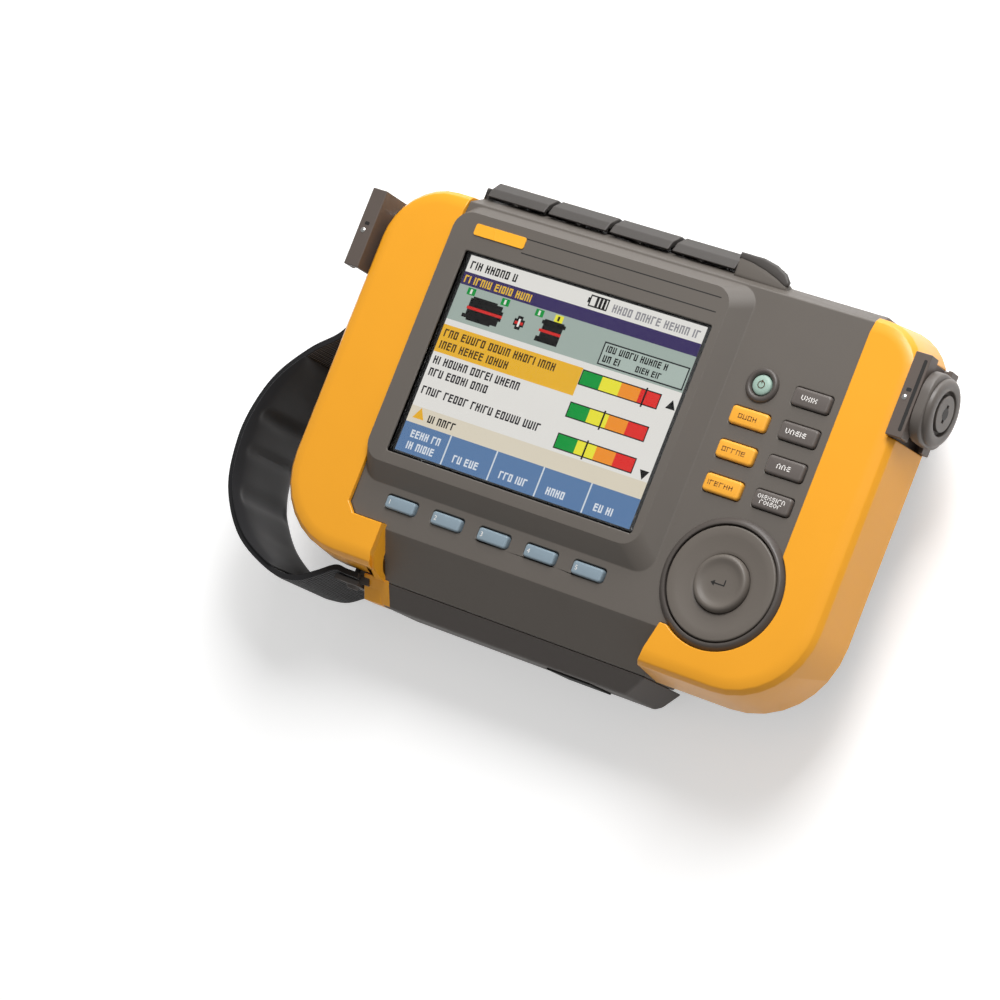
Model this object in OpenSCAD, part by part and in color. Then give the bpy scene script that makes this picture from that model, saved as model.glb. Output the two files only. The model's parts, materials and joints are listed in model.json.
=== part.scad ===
// Handheld vibration meter lying on its back: X to its right, Y to its upper edge, Z out of the screen.
// The origin is on the plane of the four rear feet, under the middle of the case with its strap and hub.

/* [Case] */
// Width of the case over its bumpers
body_w = 260; // [240:1:300]
// Height of the case between its lower and upper walls
body_h = 165; // [155:1:190]
// Depth from the rear feet to the top of the screen frame
body_d = 70; // [66:1:80]
// Height of the joint between the rear and front halves
split_z = 22; // [21:0.5:24]
// Wall thickness of the two case halves
wall = 2.8; // [2:0.1:3.2]
// Thickness of the amber bumpers
bumper_t = 2.4; // [1.6:0.1:3]
// How far the flanks draw in towards the front face
flank_in = 11.5; // [8:0.5:13]
// Width of the left bumper on the front face
left_bumper_w = 38; // [34:1:42]
// Width of the right bumper on the front face
right_bumper_w = 28.4; // [24:0.2:30]
// Height of the rubber feet
foot_h = 1.5; // [1:0.1:2.5]

/* [Screen] */
// Width of the lit area
screen_w = 115.2; // [100:0.1:116]
// Height of the lit area as a share of the case height
screen_share = 0.5236; // [0.46:0.0002:0.527]
// Distance of the screen's centre from the middle of the case
screen_shift = 22.5; // [20:0.5:25]
// Distance of the screen's centre below the upper wall as a share of the case height
screen_drop_share = 0.4242; // [0.41:0.0002:0.436]
// Thickness of the window
lens_t = 1.5; // [1:0.1:1.6]
// Depth of the display panel
lcd_t = 4.4; // [3.5:0.1:4.6]

/* [Keys] */
// Width of a soft key
soft_w = 15; // [12:0.5:16]
// Height of a soft key
soft_h = 5.5; // [4:0.5:6.5]
// Width of a key in the two columns
key_w = 16.8; // [14:0.5:19]
// Height of a key in the two columns
key_h = 7.4; // [6:0.5:9]
// Distance between the rows of keys as a share of the case height
key_pitch_share = 0.0867; // [0.079:0.0001:0.0909]
// Distance between the two columns of keys
column_pitch = 22.7; // [22:0.1:24]
// How far a key goes down
key_travel = 0.8; // [0.5:0.1:1]
// Radius of the power button
power_r = 4.2; // [3:0.1:5]

/* [Dial] */
// Outer radius of the navigation disc as a share of the case height
nav_share = 0.1406; // [0.127:0.0001:0.1418]
// Width of the collar round the disc
collar_w = 3.8; // [3.2:0.1:4.4]
// Radius of the centre button
enter_r = 11.8; // [9:0.1:12.5]

/* [Port flaps] */
// Width of one flap with its gap
flap_pitch = 30.4; // [29:0.2:31]
// How far the flaps stand above the upper wall
flap_rise = 8; // [7:0.2:9]
// Depth of the row of flaps
flap_d = 30; // [29:0.5:31]

/* [Rails and hub] */
// Length of a side rail
rail_h = 34.4; // [31:0.2:36]
// Depth of a side rail from front to back as a share of the case depth
rail_share = 0.4286; // [0.4:0.0002:0.443]
// How far the right rail stands out past the flank
rail_out = 1.5; // [1:0.1:3]
// How much further out the left rail stands
rail_more = 5; // [3:0.1:5.5]
// Radius of the hub
hub_r = 14.5; // [12:0.1:14.8]

/* [Strap] */
// Width of the hand strap as a share of the case depth
strap_share = 0.6286; // [0.514:0.0002:0.657]
// How far the strap bows out past the flank
strap_reach = 32; // [28:0.5:36]
// Thickness of the webbing
strap_t = 2.4; // [1.6:0.1:2.8]
// Thickness of the pad
pad_t = 6; // [4:0.5:8]

/* [Battery] */
// Width of the battery pack
battery_w = 112; // [100:1:116]
// Height of the battery pack
battery_h = 58; // [50:1:60]

/* [Hidden] */

$fn = 64;

// Clearances and cuts
fit = 0.3;
bond = 0.15;
running = 0.05;
cut = 40;
lap = 0.5;

// Edges of the case
half_w = body_w / 2;
half_h = body_h / 2;
rear_z = foot_h;
edge_step = 3.5;
bezel_rise = 5.5;
edge_z = body_d - edge_step;
panel_z = body_d - bezel_rise;
liner_t = bumper_t + bond;
under_z = edge_z - liner_t - wall;
panel_t = panel_z - under_z;
seam_left = left_bumper_w - half_w;
seam_right = half_w - right_bumper_w;

// Corners of the case as seen from the front: side, end and radius
corner_low_r = 38;
corner_high_left_r = 30;
corner_high_right_r = 24;
corners = [
    [-1, -1, corner_low_r], [1, -1, corner_low_r],
    [1, 1, corner_high_right_r], [-1, 1, corner_high_left_r]
];
// Flank profile: share of the depth, share of the draw-in, share of the right flank's tuck to the rear
flank_shares = [
    [0, 0.95, 1], [0.1, 0.48, 0.97], [0.33, 0.12, 0.65], [0.6, 0, 0],
    [0.94, 0.24, 0], [0.975, 0.4, 0], [1, 0.85, 0]
];
rear_tuck = 10.5;
wide_share = 0.6;
wide_z = rear_z + wide_share * (edge_z - rear_z);

// Lower edge of the front face: the left leg, the slanted chin and the right toe
knee_y = body_h * 0.1303 - half_h;
knee_r = 4;
leg_w = 9;
leg_in = 19;
leg_x = seam_left + leg_in;
chin_back = 19.5;
chin_z = body_d - chin_back;
chin_gap = 2;
chin_top_y = knee_y - chin_gap;
toe_in = 73;
toe_slant = 5;
toe_x = half_w - toe_in;
toe_top_x = toe_x + toe_slant;
brow_h = 11;
brow_d = 5;

// Heel under the chin
heel_drop = 9.5;
heel_back = 7.5;
heel_round = 2;
heel_y = -half_h - heel_drop;
heel_front_z = chin_z - heel_back;
heel_rear_z = 10;
heel_pad_w = 21;
heel_pad_t = 0.8;
heel_pad_in = 50;
heel_pad_margin = 6;

// Screen place and stack
screen_x = -screen_shift;
screen_y = half_h - screen_drop_share * body_h;
screen_h = screen_share * body_h;
border_w = 3.8;
border_h = 1.6;
opening_w = screen_w + border_w;
opening_h = screen_h + border_h;
lens_land = 6;
lens_w = opening_w + lens_land;
lens_h = opening_h + lens_land;
gasket_t = 0.6;
lip_t = 1.3;
lens_top_z = body_d - lip_t;
lcd_top_z = lens_top_z - lens_t - gasket_t;
lcd_rear_z = lcd_top_z - lcd_t;
lcd_rim_w = 12;
lcd_rim_h = 10;
lcd_w = screen_w + lcd_rim_w;
lcd_h = screen_h + lcd_rim_h;
frame_t = 1.5;
tray_d = 5.5;
frame_rear_z = lcd_rear_z - fit - frame_t;

// Raised frame round the screen
bezel_side = 6.9;
bezel_foot = 6.8;
bezel_top = 10;
bezel_right_x = screen_x + screen_w / 2 + bezel_side;
bezel_low_y = screen_y - screen_h / 2 - bezel_foot;
bezel_high_y = half_h - bezel_top;
bezel_slope = 8;
bezel_brow = 4;
bezel_r = 8;

// Keys
key_proud = 1.5;
key_r = 1.2;
flange_t = 1;
flange_lip = 1;
key_top_z = panel_z + key_proud;
soft_pitch = screen_w / 5;
soft_y = knee_y + body_h * 0.0576;
column_in = 13;
grey_x = seam_right - column_in;
amber_x = grey_x - column_pitch;
key_pitch = key_pitch_share * body_h;
top_key_y = half_h - body_h * 0.2552;
power_ring_r = 7;
power_ring_rise = 1.6;
membrane_t = 1;
membrane_top_z = under_z - fit - flange_t - key_travel - fit;
board_t = 1.6;
keyboard_top_z = membrane_top_z - membrane_t;
keypad_margin = 3;

// Dial
dial_in = 48.9;
dial_x = half_w - dial_in;
dial_y = body_h * 0.2636 - half_h;
nav_r = nav_share * body_h;
collar_r = nav_r + collar_w;
collar_gap = 0.7;
collar_in_r = nav_r + collar_gap;
collar_rise = 2.5;
collar_bevel = 1;
nav_lip = 1;
nav_rise = 2.3;
nav_sink = 2.4;
nav_bevel = 0.8;
nav_slope_w = 4;
well_r = collar_in_r + nav_lip;
nav_top_z = panel_z + nav_rise;
nav_flange_r = nav_r + nav_lip;
nav_flange_z = panel_z - nav_sink;
enter_gap = 0.6;
enter_rise = 1.6;
enter_rim = 1.2;
enter_dish = 0.7;
nav_hole_r = enter_r + enter_gap;
enter_top_z = nav_top_z + enter_rise;
gimbal_in_r = 14;
gimbal_out_r = 17;
gimbal_r = (gimbal_in_r + gimbal_out_r) / 2;
gimbal_t = 1.2;
gimbal_lift = 0.75;
gimbal_z = membrane_top_z + gimbal_lift;
pivot_post_r = 1.2;

// Port flaps and the hinge rod, carried by lugs on the upper wall
flap_count = 4;
flap_in = 2.4;
flap_x = seam_left + flap_in;
flap_gap = 0.6;
flap_t = 2.1;
flap_ridge = 4;
flap_slant = 2;
flap_brow = 6;
rod_r = 1.25;
barrel_r = 2.6;
rod_z = 28;
rod_y = half_h + flap_rise - barrel_r;
flap_front_z = rod_z + flap_d;
flap_top_y = half_h + flap_rise;
lug_w = 1.8;
lug_d = 6;
lug_foot_z = rod_z - lug_d / 2;
flap_row_w = flap_count * flap_pitch;
end_block_w = 18;

// Sockets under the flaps
socket_z = 41;
socket_up = 3.6;
socket_in = 12;
jack_r = 4;
tacho_r = 4.8;
sensor_r = 6;
data_w = 12;
data_d = 11;
data_shell_t = 0.8;
data_tongue_t = 2;
pin_r = 0.5;

// Boards and chassis
main_w = 150;
main_h = body_h * 0.703;
main_x = -24;
main_r = 2;
main_gap = 1;
main_z = socket_z - sensor_r - board_t - lap;
chassis_t = 1.5;
chassis_lift = 1.7;
chassis_z = split_z + chassis_lift;
post_r = 3.2;
board_screw_r = 1.25;
board_screw_head_r = 2.5;
board_screw_head_t = 1.2;
board_screw_l = 5;
main_screw_inset = 6;
flex_t = 0.4;
flex_w = 24;
flex_run = 14;
flex_foot = 6;
flex_rise = 8;
flex_turn = 4;

// Screws through the rear case into long bosses
screw_r = 2;
screw_head_r = 3.8;
screw_head_t = 2.5;
boss_r = 4.6;
case_screw_l = 26;
screw_shares = [
    [-0.792, 0.685], [-0.792, -0.539], [0.781, 0.667], [0.523, -0.806], [0.269, 0.806], [-0.408, -0.794]
];
screw_spots = [for (p = screw_shares) [p[0] * half_w, p[1] * half_h]];

// Battery bay, door and its captive screws
bay_x = -4;
bay_y = -8;
battery_t = 16;
door_t = 2.5;
door_w = battery_w + 8;
door_margin = 9;
door_h = battery_h + 2 * door_margin;
door_z = rear_z + fit;
door_hinge_r = door_t / 2;
door_hinge_y = bay_y - door_h / 2 + door_hinge_r;
door_screw_r = 1.9;
door_screw_head_r = 4;
door_screw_head_t = 1.4;
door_screw_l = 7;
door_screw_x = 46;
door_screw_y = bay_y + door_h / 2 - door_margin / 2;
door_top_z = door_z + door_t;
battery_z = door_top_z + fit;
battery_r = 3;
contact_w = 20;
contact_h = 12;
contact_t = 4;

// Rubber feet on the rear
foot_r = 7;
foot_recess = 0.8;
foot_in = 42;
foot_down = 20.5;
foot_x = half_w - foot_in;
foot_y = half_h - foot_down;

// Side rails: channel with two lips, standing in a pocket of the flank
rail_down = 29;
rail_sink = 6;
rail_step = 1.5;
rail_d = rail_share * body_d;
rail_y = half_h - rail_down;
pocket_x = half_w - rail_sink;
rail_front_z = body_d - rail_step;
rail_rear_z = rail_front_z - rail_d;
rail_mid_z = (rail_front_z + rail_rear_z) / 2;
rail_base_x = pocket_x + fit;
rail_web = 2.2;
rail_side = 3.6;
rail_lip = 3.4;
rail_lip_t = 1.8;
rail_top_x = half_w + rail_out;
rail_pad = 8;
rail_pad_x = pocket_x - rail_pad;
rail_screw_r = 2;
rail_screw_head_r = 3.6;
rail_screw_l = 10;
rail_screw_gap = rail_h * 0.6;

// Hub that slides in the right rail
slide_gap = 0.25;
hub_t = 6.75;
hub_chamfer = 1.2;
hub_base_h = 26;
hub_x = rail_top_x + slide_gap;
hub_screw_r = 7.4;
hub_bore_r = 8.2;
hub_bore_d = 2.6;
hub_stem_r = 3;
hub_down = 1;
hub_y = rail_y - hub_down;
slot_w = 1.8;
slot_d = 1;

// Strap: its two flat ends on the case, and its route between them as shares of the reach past the
// flank and of the half height
strap_w = strap_share * body_d;
strap_z = body_d * 0.1286;
strap_sink = 4;
strap_gap = 3;
strap_floor_x = half_w - strap_sink;
strap_high_y = rail_y - rail_h / 2 - strap_gap;
strap_low_in = 1;
strap_low_x = leg_x - leg_w - strap_low_in;
strap_lift = 0.85;
plate_gap = 0.35;
strap_shares = [
    [0.125, 0.103], [0.47, -0.018], [0.81, -0.194], [0.975, -0.388], [1, -0.58], [0.86, -0.812],
    [0.44, -1.018], [-0.156, -1.127], [-0.56, -1.133], [-0.85, -1.072]
];
strap_steps = 3;
strap_screw_r = 1.6;
strap_screw_l = 9;
strap_screw_head_t = 1.6;
recess_h = 16;
recess_gap = 2;
pocket_run = 8;
pad_shares = [0.27, 0.68];
pad_margin = 1;
plate_t = 2.2;
plate_l = 12;
plate_screw_shares = [0.22, 0.78];
strap_out_x = half_w + strap_reach + strap_t;
middle_x = (hub_x + hub_t - strap_out_x) / 2;
strap_under_y = half_h * 1.14 + strap_t;
middle_y = (flap_top_y - strap_under_y) / 2;
nameplate_w = 25;
nameplate_h = 5;
nameplate_t = 0.5;
nameplate_down = 16.5;
nameplate_in = 1;

function level(s, t) = let (z = rear_z + s * (edge_z - rear_z))
    z > wide_z ? z - t * (z - wide_z) / (edge_z - wide_z) : z + t * (wide_z - z) / (wide_z - rear_z);
function left_more(s) = s < 0 ? rail_more : 0;
function corner_x(c) = c[0] * (half_w - c[2]);
function corner_y(c) = c[1] * (half_h - c[2]);
strap_spots = concat(
    [for (k = [0, 0.5, 1]) [-strap_floor_x - strap_lift, strap_high_y - k * plate_l]],
    [for (s = strap_shares) [-half_w - s[0] * strap_reach, s[1] * half_h]],
    [for (k = [1, 0.5, 0]) [strap_low_x - k * plate_l, -half_h - strap_lift]]
);
function strap_spot(i) = strap_spots[max(0, min(len(strap_spots) - 1, i))];
// Smooth curve through the spots, from one spot to the next as f goes from 0 to 1
function through(a, b, c, d, f) = 0.5 * (2 * b + (c - a) * f + (2 * a - 5 * b + 4 * c - d) * f * f
    + (3 * b - a - 3 * c + d) * f * f * f);
function strap_at(u) = let (n = len(strap_spots) - 1, i = min(n - 1, floor(u * n)), f = u * n - i)
    through(strap_spot(i - 1), strap_spot(i), strap_spot(i + 1), strap_spot(i + 2), f);
function strap_normal(u) = let (e = 0.004, d = strap_at(min(1, u + e)) - strap_at(max(0, u - e)))
    [d[1], -d[0]] / norm(d);
// Band of given thickness along the strap, from one share of its length to another
function band(from, to, near, far, steps) = concat(
    [for (i = [0:steps]) let (u = from + (to - from) * i / steps) strap_at(u) + near * strap_normal(u)],
    [for (i = [steps:-1:0]) let (u = from + (to - from) * i / steps) strap_at(u) + far * strap_normal(u)]
);

// Everything is drawn from the middle of the case, then moved so that the origin lies under the
// middle of the case, the strap and the hub together
module centred() {
    translate([-middle_x, -middle_y, 0]) children();
}

module round_rect(w, h, r) {
    square([w - 2 * r, h], center = true);
    square([w, h - 2 * r], center = true);
    for (x = [-1, 1], y = [-1, 1])
        translate([x * (w / 2 - r), y * (h / 2 - r)]) circle(r);
}

module slab(w, h, t, r) {
    linear_extrude(t) round_rect(w, h, r);
}

module at_screen(z) {
    translate([screen_x, screen_y, z]) children();
}

// Profile in Y and Z, extruded along X
module along_x(x0, x1) {
    translate([x0, 0, 0]) rotate([90, 0, 90]) linear_extrude(x1 - x0) children();
}

// Outer form of the whole case, drawn in by t on every side
module body_form(t) {
    hull() for (c = corners, i = [0:len(flank_shares) - 2]) {
        z0 = level(flank_shares[i][0], t);
        z1 = level(flank_shares[i + 1][0], t);
        tuck = max(0, c[0]) * flank_shares[i][2] * rear_tuck;
        translate([corner_x(c) - tuck, corner_y(c), z0])
            cylinder(h = z1 - z0, r1 = c[2] - flank_shares[i][1] * flank_in - t,
                     r2 = c[2] - flank_shares[i + 1][1] * flank_in - t, $fn = 32);
    }
}

// Grey part of the front face as seen from the front, grown by g
module grey_plan(g) {
    polygon([
        [seam_left - g, half_h + cut], [seam_left - g, knee_y + knee_r],
        [seam_left - g + knee_r, knee_y - g], [leg_x - g, knee_y - g],
        [leg_x - g, -half_h - cut], [toe_x + g, -half_h - cut],
        [toe_x + g, -half_h], [toe_top_x + g, knee_y - g], [dial_x, knee_y - g],
        [seam_right + g, dial_y], [seam_right + g, half_h + cut]
    ]);
    translate([dial_x, dial_y]) circle(collar_r + g);
}

// Section of the grey part, drawn in by t
module grey_section(t) {
    polygon([
        [t - half_h, -cut], [t - half_h, chin_z - t / 2], [chin_top_y + t / 3, panel_z - t],
        [half_h - t - brow_d, panel_z - t], [half_h - t, panel_z - t - brow_h], [half_h - t, -cut]
    ]);
}

module bezel_raise() {
    top_w = bezel_right_x - seam_left;
    top_h = bezel_high_y - bezel_low_y;
    low_w = top_w + bezel_slope;
    low_h = top_h + bezel_slope + bezel_brow;
    hull() {
        translate([seam_left + top_w / 2, bezel_low_y + top_h / 2, body_d - lap])
            slab(top_w, top_h, lap, bezel_r, $fn = 32);
        translate([seam_left + low_w / 2, bezel_low_y - bezel_slope + low_h / 2, panel_z - lap])
            slab(low_w, low_h, lap, bezel_r, $fn = 32);
    }
}

module cavity() {
    intersection() {
        body_form(liner_t + wall);
        along_x(-half_w, half_w) grey_section(wall);
    }
}

// Pockets of the two rails: deep in the right flank, shallow in the left one
module rail_pockets() {
    for (s = [-1, 1])
        translate([s * (pocket_x + left_more(s) + cut / 2), rail_y, rail_rear_z - fit + cut])
            cube([cut, rail_h + 2 * fit, 2 * cut], center = true);
}

module screw_holes(z0, h, r) {
    for (p = screw_spots) translate([p[0], p[1], z0]) cylinder(h = h, r = r);
}

// Place of the rail screws: side, height along the rail
module at_rail_screws() {
    for (s = [-1, 1], k = [-1, 1])
        translate([s * (rail_base_x + left_more(s) + rail_web), rail_y + k * rail_screw_gap / 2, rail_mid_z])
            rotate([0, -s * 90, 0]) children();
}

module front_solid() {
    intersection() {
        linear_extrude(body_d) grey_plan(0);
        along_x(-half_w, half_w) grey_section(0);
    }
    difference() {
        body_form(liner_t);
        translate([0, 0, -lap]) linear_extrude(body_d + 2 * lap) grey_plan(0);
    }
    bezel_raise();
}

module key_opening(x, y, w, h, r) {
    translate([x, y, under_z - lap]) slab(w + 2 * fit, h + 2 * fit, panel_t + 2 * lap + cut, r + fit);
}

module flap_lugs() {
    for (x = [flap_x - fit - lug_w, flap_x + flap_row_w + fit])
        translate([x, half_h - lap, lug_foot_z])
            cube([lug_w, flap_rise - barrel_r + lap + rod_r * 2, lug_d]);
    along_end = flap_x + flap_row_w + fit;
    translate([0, 0, lug_foot_z]) linear_extrude(flap_front_z - fit - lug_foot_z) polygon([
        [along_end, half_h - lap], [along_end, flap_top_y - lug_w],
        [along_end + lug_w * 2, flap_top_y - lug_w], [along_end + end_block_w, half_h],
        [along_end + end_block_w, half_h - lap]
    ]);
}

module front_case() {
    color([0.42, 0.4, 0.37]) centred() difference() {
        union() {
            front_solid();
            flap_lugs();
        }
        difference() {
            cavity();
            screw_holes(0, body_d, boss_r);
            for (s = [-1, 1]) translate([s * (rail_pad_x + wall), rail_y, rail_mid_z - wall])
                cube([2 * (pocket_x - rail_pad_x), rail_h - 2 * wall, rail_d * 0.7], center = true);
        }
        translate([-half_w - cut, -half_h - cut, -cut])
            cube([body_w + 2 * cut, body_h + 2 * cut, split_z + bond + cut]);
        rail_pockets();
        at_rail_screws() translate([0, 0, -lap])
            cylinder(h = rail_screw_l + 2 * lap, r = rail_screw_r + running);
        strap_pocket();
        at_strap_screws() cylinder(h = cut, r = strap_screw_r + running, center = true);
        screw_holes(split_z - lap, case_screw_l - split_z + rear_z + 2 * lap + wall, screw_r + running);
        at_screen(lcd_rear_z - tray_d - cut)
            slab(lcd_w + 2 * fit, lcd_h + 2 * fit, lcd_top_z - lcd_rear_z + tray_d + cut, lap);
        at_screen(lcd_top_z - lap)
            slab(lens_w + 2 * fit, lens_h + 2 * fit, lens_top_z - lcd_top_z + lap, lap * 2);
        at_screen(lens_top_z - lap) slab(opening_w, opening_h, lip_t + 2 * lap, lap * 2);
        for (i = [-2:2]) key_opening(screen_x + i * soft_pitch, soft_y, soft_w, soft_h, key_r);
        for (i = [0:3]) key_opening(grey_x, top_key_y - i * key_pitch, key_w, key_h, key_r);
        for (i = [1:3]) key_opening(amber_x, top_key_y - i * key_pitch, key_w, key_h, key_r);
        translate([amber_x, top_key_y, under_z - lap]) cylinder(h = panel_t + 2 * lap, r = power_r + fit);
        translate([dial_x, dial_y, under_z - cut / 8]) cylinder(h = cut, r = well_r);
        translate([flap_x - cut / 4, rod_y, rod_z]) rotate([0, 90, 0])
            cylinder(h = flap_row_w + cut / 2, r = rod_r + running);
        socket_bores(fit);
    }
}

module socket_bores(g) {
    at_socket(0) cylinder(h = cut, r = jack_r + g, center = true);
    at_socket(1) cylinder(h = cut, r = tacho_r + g, center = true);
    at_socket(2) cylinder(h = cut, r = sensor_r + g, center = true);
    at_socket(3) cube([data_w + 2 * g, data_d + 2 * g, cut], center = true);
}

// Middle of flap number k on the upper wall, with the axis along Y
module at_socket(k) {
    translate([flap_x + (k + 0.5) * flap_pitch, half_h, socket_z]) rotate([90, 0, 0]) children();
}

module rear_case() {
    bay_w = battery_w + 2 * fit;
    bay_h = battery_h + 2 * fit;
    color([0.3, 0.29, 0.27]) centred() difference() {
        body_form(0);
        translate([-half_w - cut, -half_h - cut, split_z - bond])
            cube([body_w + 2 * cut, body_h + 2 * cut, body_d + cut]);
        difference() {
            intersection() {
                body_form(liner_t + wall);
                translate([-half_w, -half_h, rear_z + wall]) cube([body_w, body_h, body_d]);
            }
            screw_holes(0, body_d, boss_r);
            translate([bay_x, bay_y, 0]) linear_extrude(split_z - fit) difference() {
                round_rect(door_w + 2 * wall, door_h + 2 * wall, wall);
                round_rect(bay_w, bay_h, lap);
            }
        }
        translate([bay_x, bay_y, door_top_z + fit]) slab(bay_w, bay_h, cut, lap);
        translate([bay_x, bay_y, -lap])
            slab(door_w + 2 * fit, door_h + 2 * fit, door_top_z + fit + lap, lap * 2);
        for (s = [-1, 1]) translate([bay_x + s * door_screw_x, door_screw_y, 0])
            cylinder(h = door_top_z + door_screw_l, r = door_screw_r + fit);
        strap_pocket();
        at_strap_screws() cylinder(h = cut, r = strap_screw_r + running, center = true);
        screw_holes(-lap, cut, screw_r + fit);
        screw_holes(-lap, rear_z + screw_head_t + lap + fit, screw_head_r + fit);
        for (x = [-1, 1], y = [-1, 1]) translate([x * foot_x, y * foot_y, 0])
            cylinder(h = rear_z + foot_recess, r = foot_r + bond);
    }
}

module bumper(s) {
    color([0.96, 0.68, 0.2]) centred() difference() {
        body_form(0);
        body_form(bumper_t);
        translate([0, 0, -lap]) linear_extrude(body_d + 2 * lap) grey_plan(bond);
        translate([-half_w - cut, -half_h - cut, -cut])
            cube([body_w + 2 * cut, body_h + 2 * cut, split_z + bond + cut]);
        translate([s > 0 ? -half_w - cut : 0, -half_h - cut, 0])
            cube([half_w + cut, body_h + 2 * cut, body_d + cut]);
        rail_pockets();
        at_rail_screws() cylinder(h = rail_screw_l + fit, r = rail_screw_r + fit);
        strap_recess();
        strap_pocket();
    }
}

// Cut-out of the left bumper behind its lower left corner, where the strap goes under the case
module strap_recess() {
    translate([-half_w - cut, -half_h - cut, 0])
        cube([leg_x - leg_w + half_w + cut - fit, recess_h + cut, chin_z - recess_gap]);
}

// Flat pocket in the left flank for the upper end of the strap
module strap_pocket() {
    translate([-strap_floor_x - cut, strap_high_y - plate_l - pocket_run, strap_z - fit])
        cube([cut, plate_l + pocket_run + lap * 2, strap_w + 2 * fit]);
}

// Places of the plate screws, pointing out of the case
module at_strap_screws() {
    for (k = plate_screw_shares) {
        translate([-strap_floor_x, strap_high_y - plate_l / 2, strap_z + k * strap_w])
            rotate([0, -90, 0]) children();
        translate([strap_low_x - plate_l / 2, -half_h, strap_z + k * strap_w])
            rotate([90, 0, 0]) children();
    }
}

module left_bumper() {
    bumper(-1);
    color([0.96, 0.68, 0.2]) centred() along_x(leg_x - leg_w, leg_x - bond) polygon([
        [bond - half_h, heel_front_z - leg_w], [heel_y, heel_front_z - leg_w], [heel_y, heel_front_z],
        [-half_h - fit, chin_z - bond * 2], [bond - half_h + lap, chin_z - bond * 2]
    ]);
}

module right_bumper() {
    bumper(1);
}

module heel_bar() {
    color([0.23, 0.21, 0.2]) centred() along_x(leg_x + bond, toe_x + bond) polygon([
        [-half_h - bond, heel_rear_z + 2 * heel_round], [heel_y + heel_round, heel_rear_z],
        [heel_y, heel_rear_z + heel_round], [heel_y, heel_front_z - heel_round / 2],
        [heel_y + heel_round / 2, heel_front_z], [-half_h - bond, chin_z - bond]
    ]);
}

module heel_pad() {
    color([0.15, 0.15, 0.15]) centred()
        translate([toe_x - heel_pad_in, heel_y - heel_pad_t, heel_rear_z + heel_pad_margin])
            cube([heel_pad_w, heel_pad_t, heel_front_z - heel_rear_z - 2 * heel_pad_margin]);
}

module case_gasket() {
    color([0.1, 0.1, 0.1]) centred() intersection() {
        difference() {
            body_form(liner_t + lap);
            body_form(liner_t + wall - lap);
        }
        translate([-half_w, -half_h, split_z - bond]) cube([body_w, body_h, 2 * bond]);
    }
}

module case_screws() {
    color([0.6, 0.6, 0.6]) centred() for (p = screw_spots) translate([p[0], p[1], rear_z + fit])
        difference() {
            union() {
                cylinder(h = screw_head_t, r = screw_head_r);
                cylinder(h = case_screw_l, r = screw_r);
            }
            translate([0, 0, -lap]) cylinder(h = screw_head_t / 2 + lap, r = screw_r, $fn = 6);
        }
}

module screen_lens() {
    color([0.75, 0.8, 0.82, 0.4]) centred() at_screen(lens_top_z - lens_t)
        slab(lens_w, lens_h, lens_t, lap * 2);
}

module lens_gasket() {
    color([0.08, 0.08, 0.08]) centred() at_screen(lcd_top_z) difference() {
        slab(lens_w, lens_h, gasket_t, lap * 2);
        translate([0, 0, -lap]) slab(opening_w, opening_h, gasket_t + 2 * lap, lap * 2);
    }
}

module lcd_panel() {
    color([0.85, 0.87, 0.88]) centred() at_screen(lcd_rear_z) slab(lcd_w, lcd_h, lcd_t, lap);
}

// Sheet-metal tray that carries the panel, with ears on the case's posts
module lcd_frame() {
    color([0.7, 0.7, 0.68]) centred() at_screen(frame_rear_z) difference() {
        slab(lcd_w, lcd_h, frame_t, lap);
        translate([0, 0, -lap]) slab(lcd_w * 0.6, lcd_h * 0.6, frame_t + 2 * lap, bezel_r);
    }
}

// Outline of the keypad parts: a strip under the soft keys and a block under the two columns
module keypad_plan(g) {
    strip_h = soft_h + 2 * flange_lip + keypad_margin;
    block_l = amber_x - key_w / 2 - keypad_margin;
    block_w = grey_x + key_w / 2 + keypad_margin - block_l;
    block_low = dial_y + gimbal_out_r;
    block_h = top_key_y + key_h + collar_bevel - block_low;
    translate([screen_x - 2.5 * soft_pitch + g, soft_y - strip_h / 2 + g])
        square([dial_x - screen_x + 2.5 * soft_pitch - g, strip_h - 2 * g]);
    translate([block_l + g, block_low]) square([block_w - 2 * g, block_h]);
    translate([dial_x, dial_y]) circle(well_r - nav_lip - g);
}

module keypad_membrane() {
    color([0.2, 0.2, 0.2]) centred() translate([0, 0, keyboard_top_z]) linear_extrude(membrane_t)
        difference() {
            keypad_plan(0);
            for (s = [-1, 1]) translate([dial_x + s * gimbal_r, dial_y]) circle(pivot_post_r + fit);
        }
}

module keypad_board() {
    color([0.1, 0.35, 0.2]) centred() {
        translate([0, 0, keyboard_top_z - board_t]) linear_extrude(board_t) keypad_plan(lap);
        for (s = [-1, 1]) translate([dial_x + s * gimbal_r, dial_y, keyboard_top_z - lap])
            cylinder(h = gimbal_z - keyboard_top_z + lap - 3 * running, r = pivot_post_r);
    }
}

// A key: cap through the face, and the flange that keeps it in
module key(x, y, w, h) {
    translate([x, y, under_z - fit - flange_t]) {
        slab(w + 2 * flange_lip, h + 2 * flange_lip, flange_t, key_r);
        slab(w, h, key_top_z - under_z + fit + flange_t, key_r);
    }
}

module soft_key(i) {
    color([0.58, 0.66, 0.72]) centred() key(screen_x + (i - 3) * soft_pitch, soft_y, soft_w, soft_h);
}

module amber_key(i) {
    color([0.96, 0.7, 0.26]) centred() key(amber_x, top_key_y - i * key_pitch, key_w, key_h);
}

module grey_key(i) {
    color([0.45, 0.42, 0.39]) centred() key(grey_x, top_key_y - (i - 1) * key_pitch, key_w, key_h);
}

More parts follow.
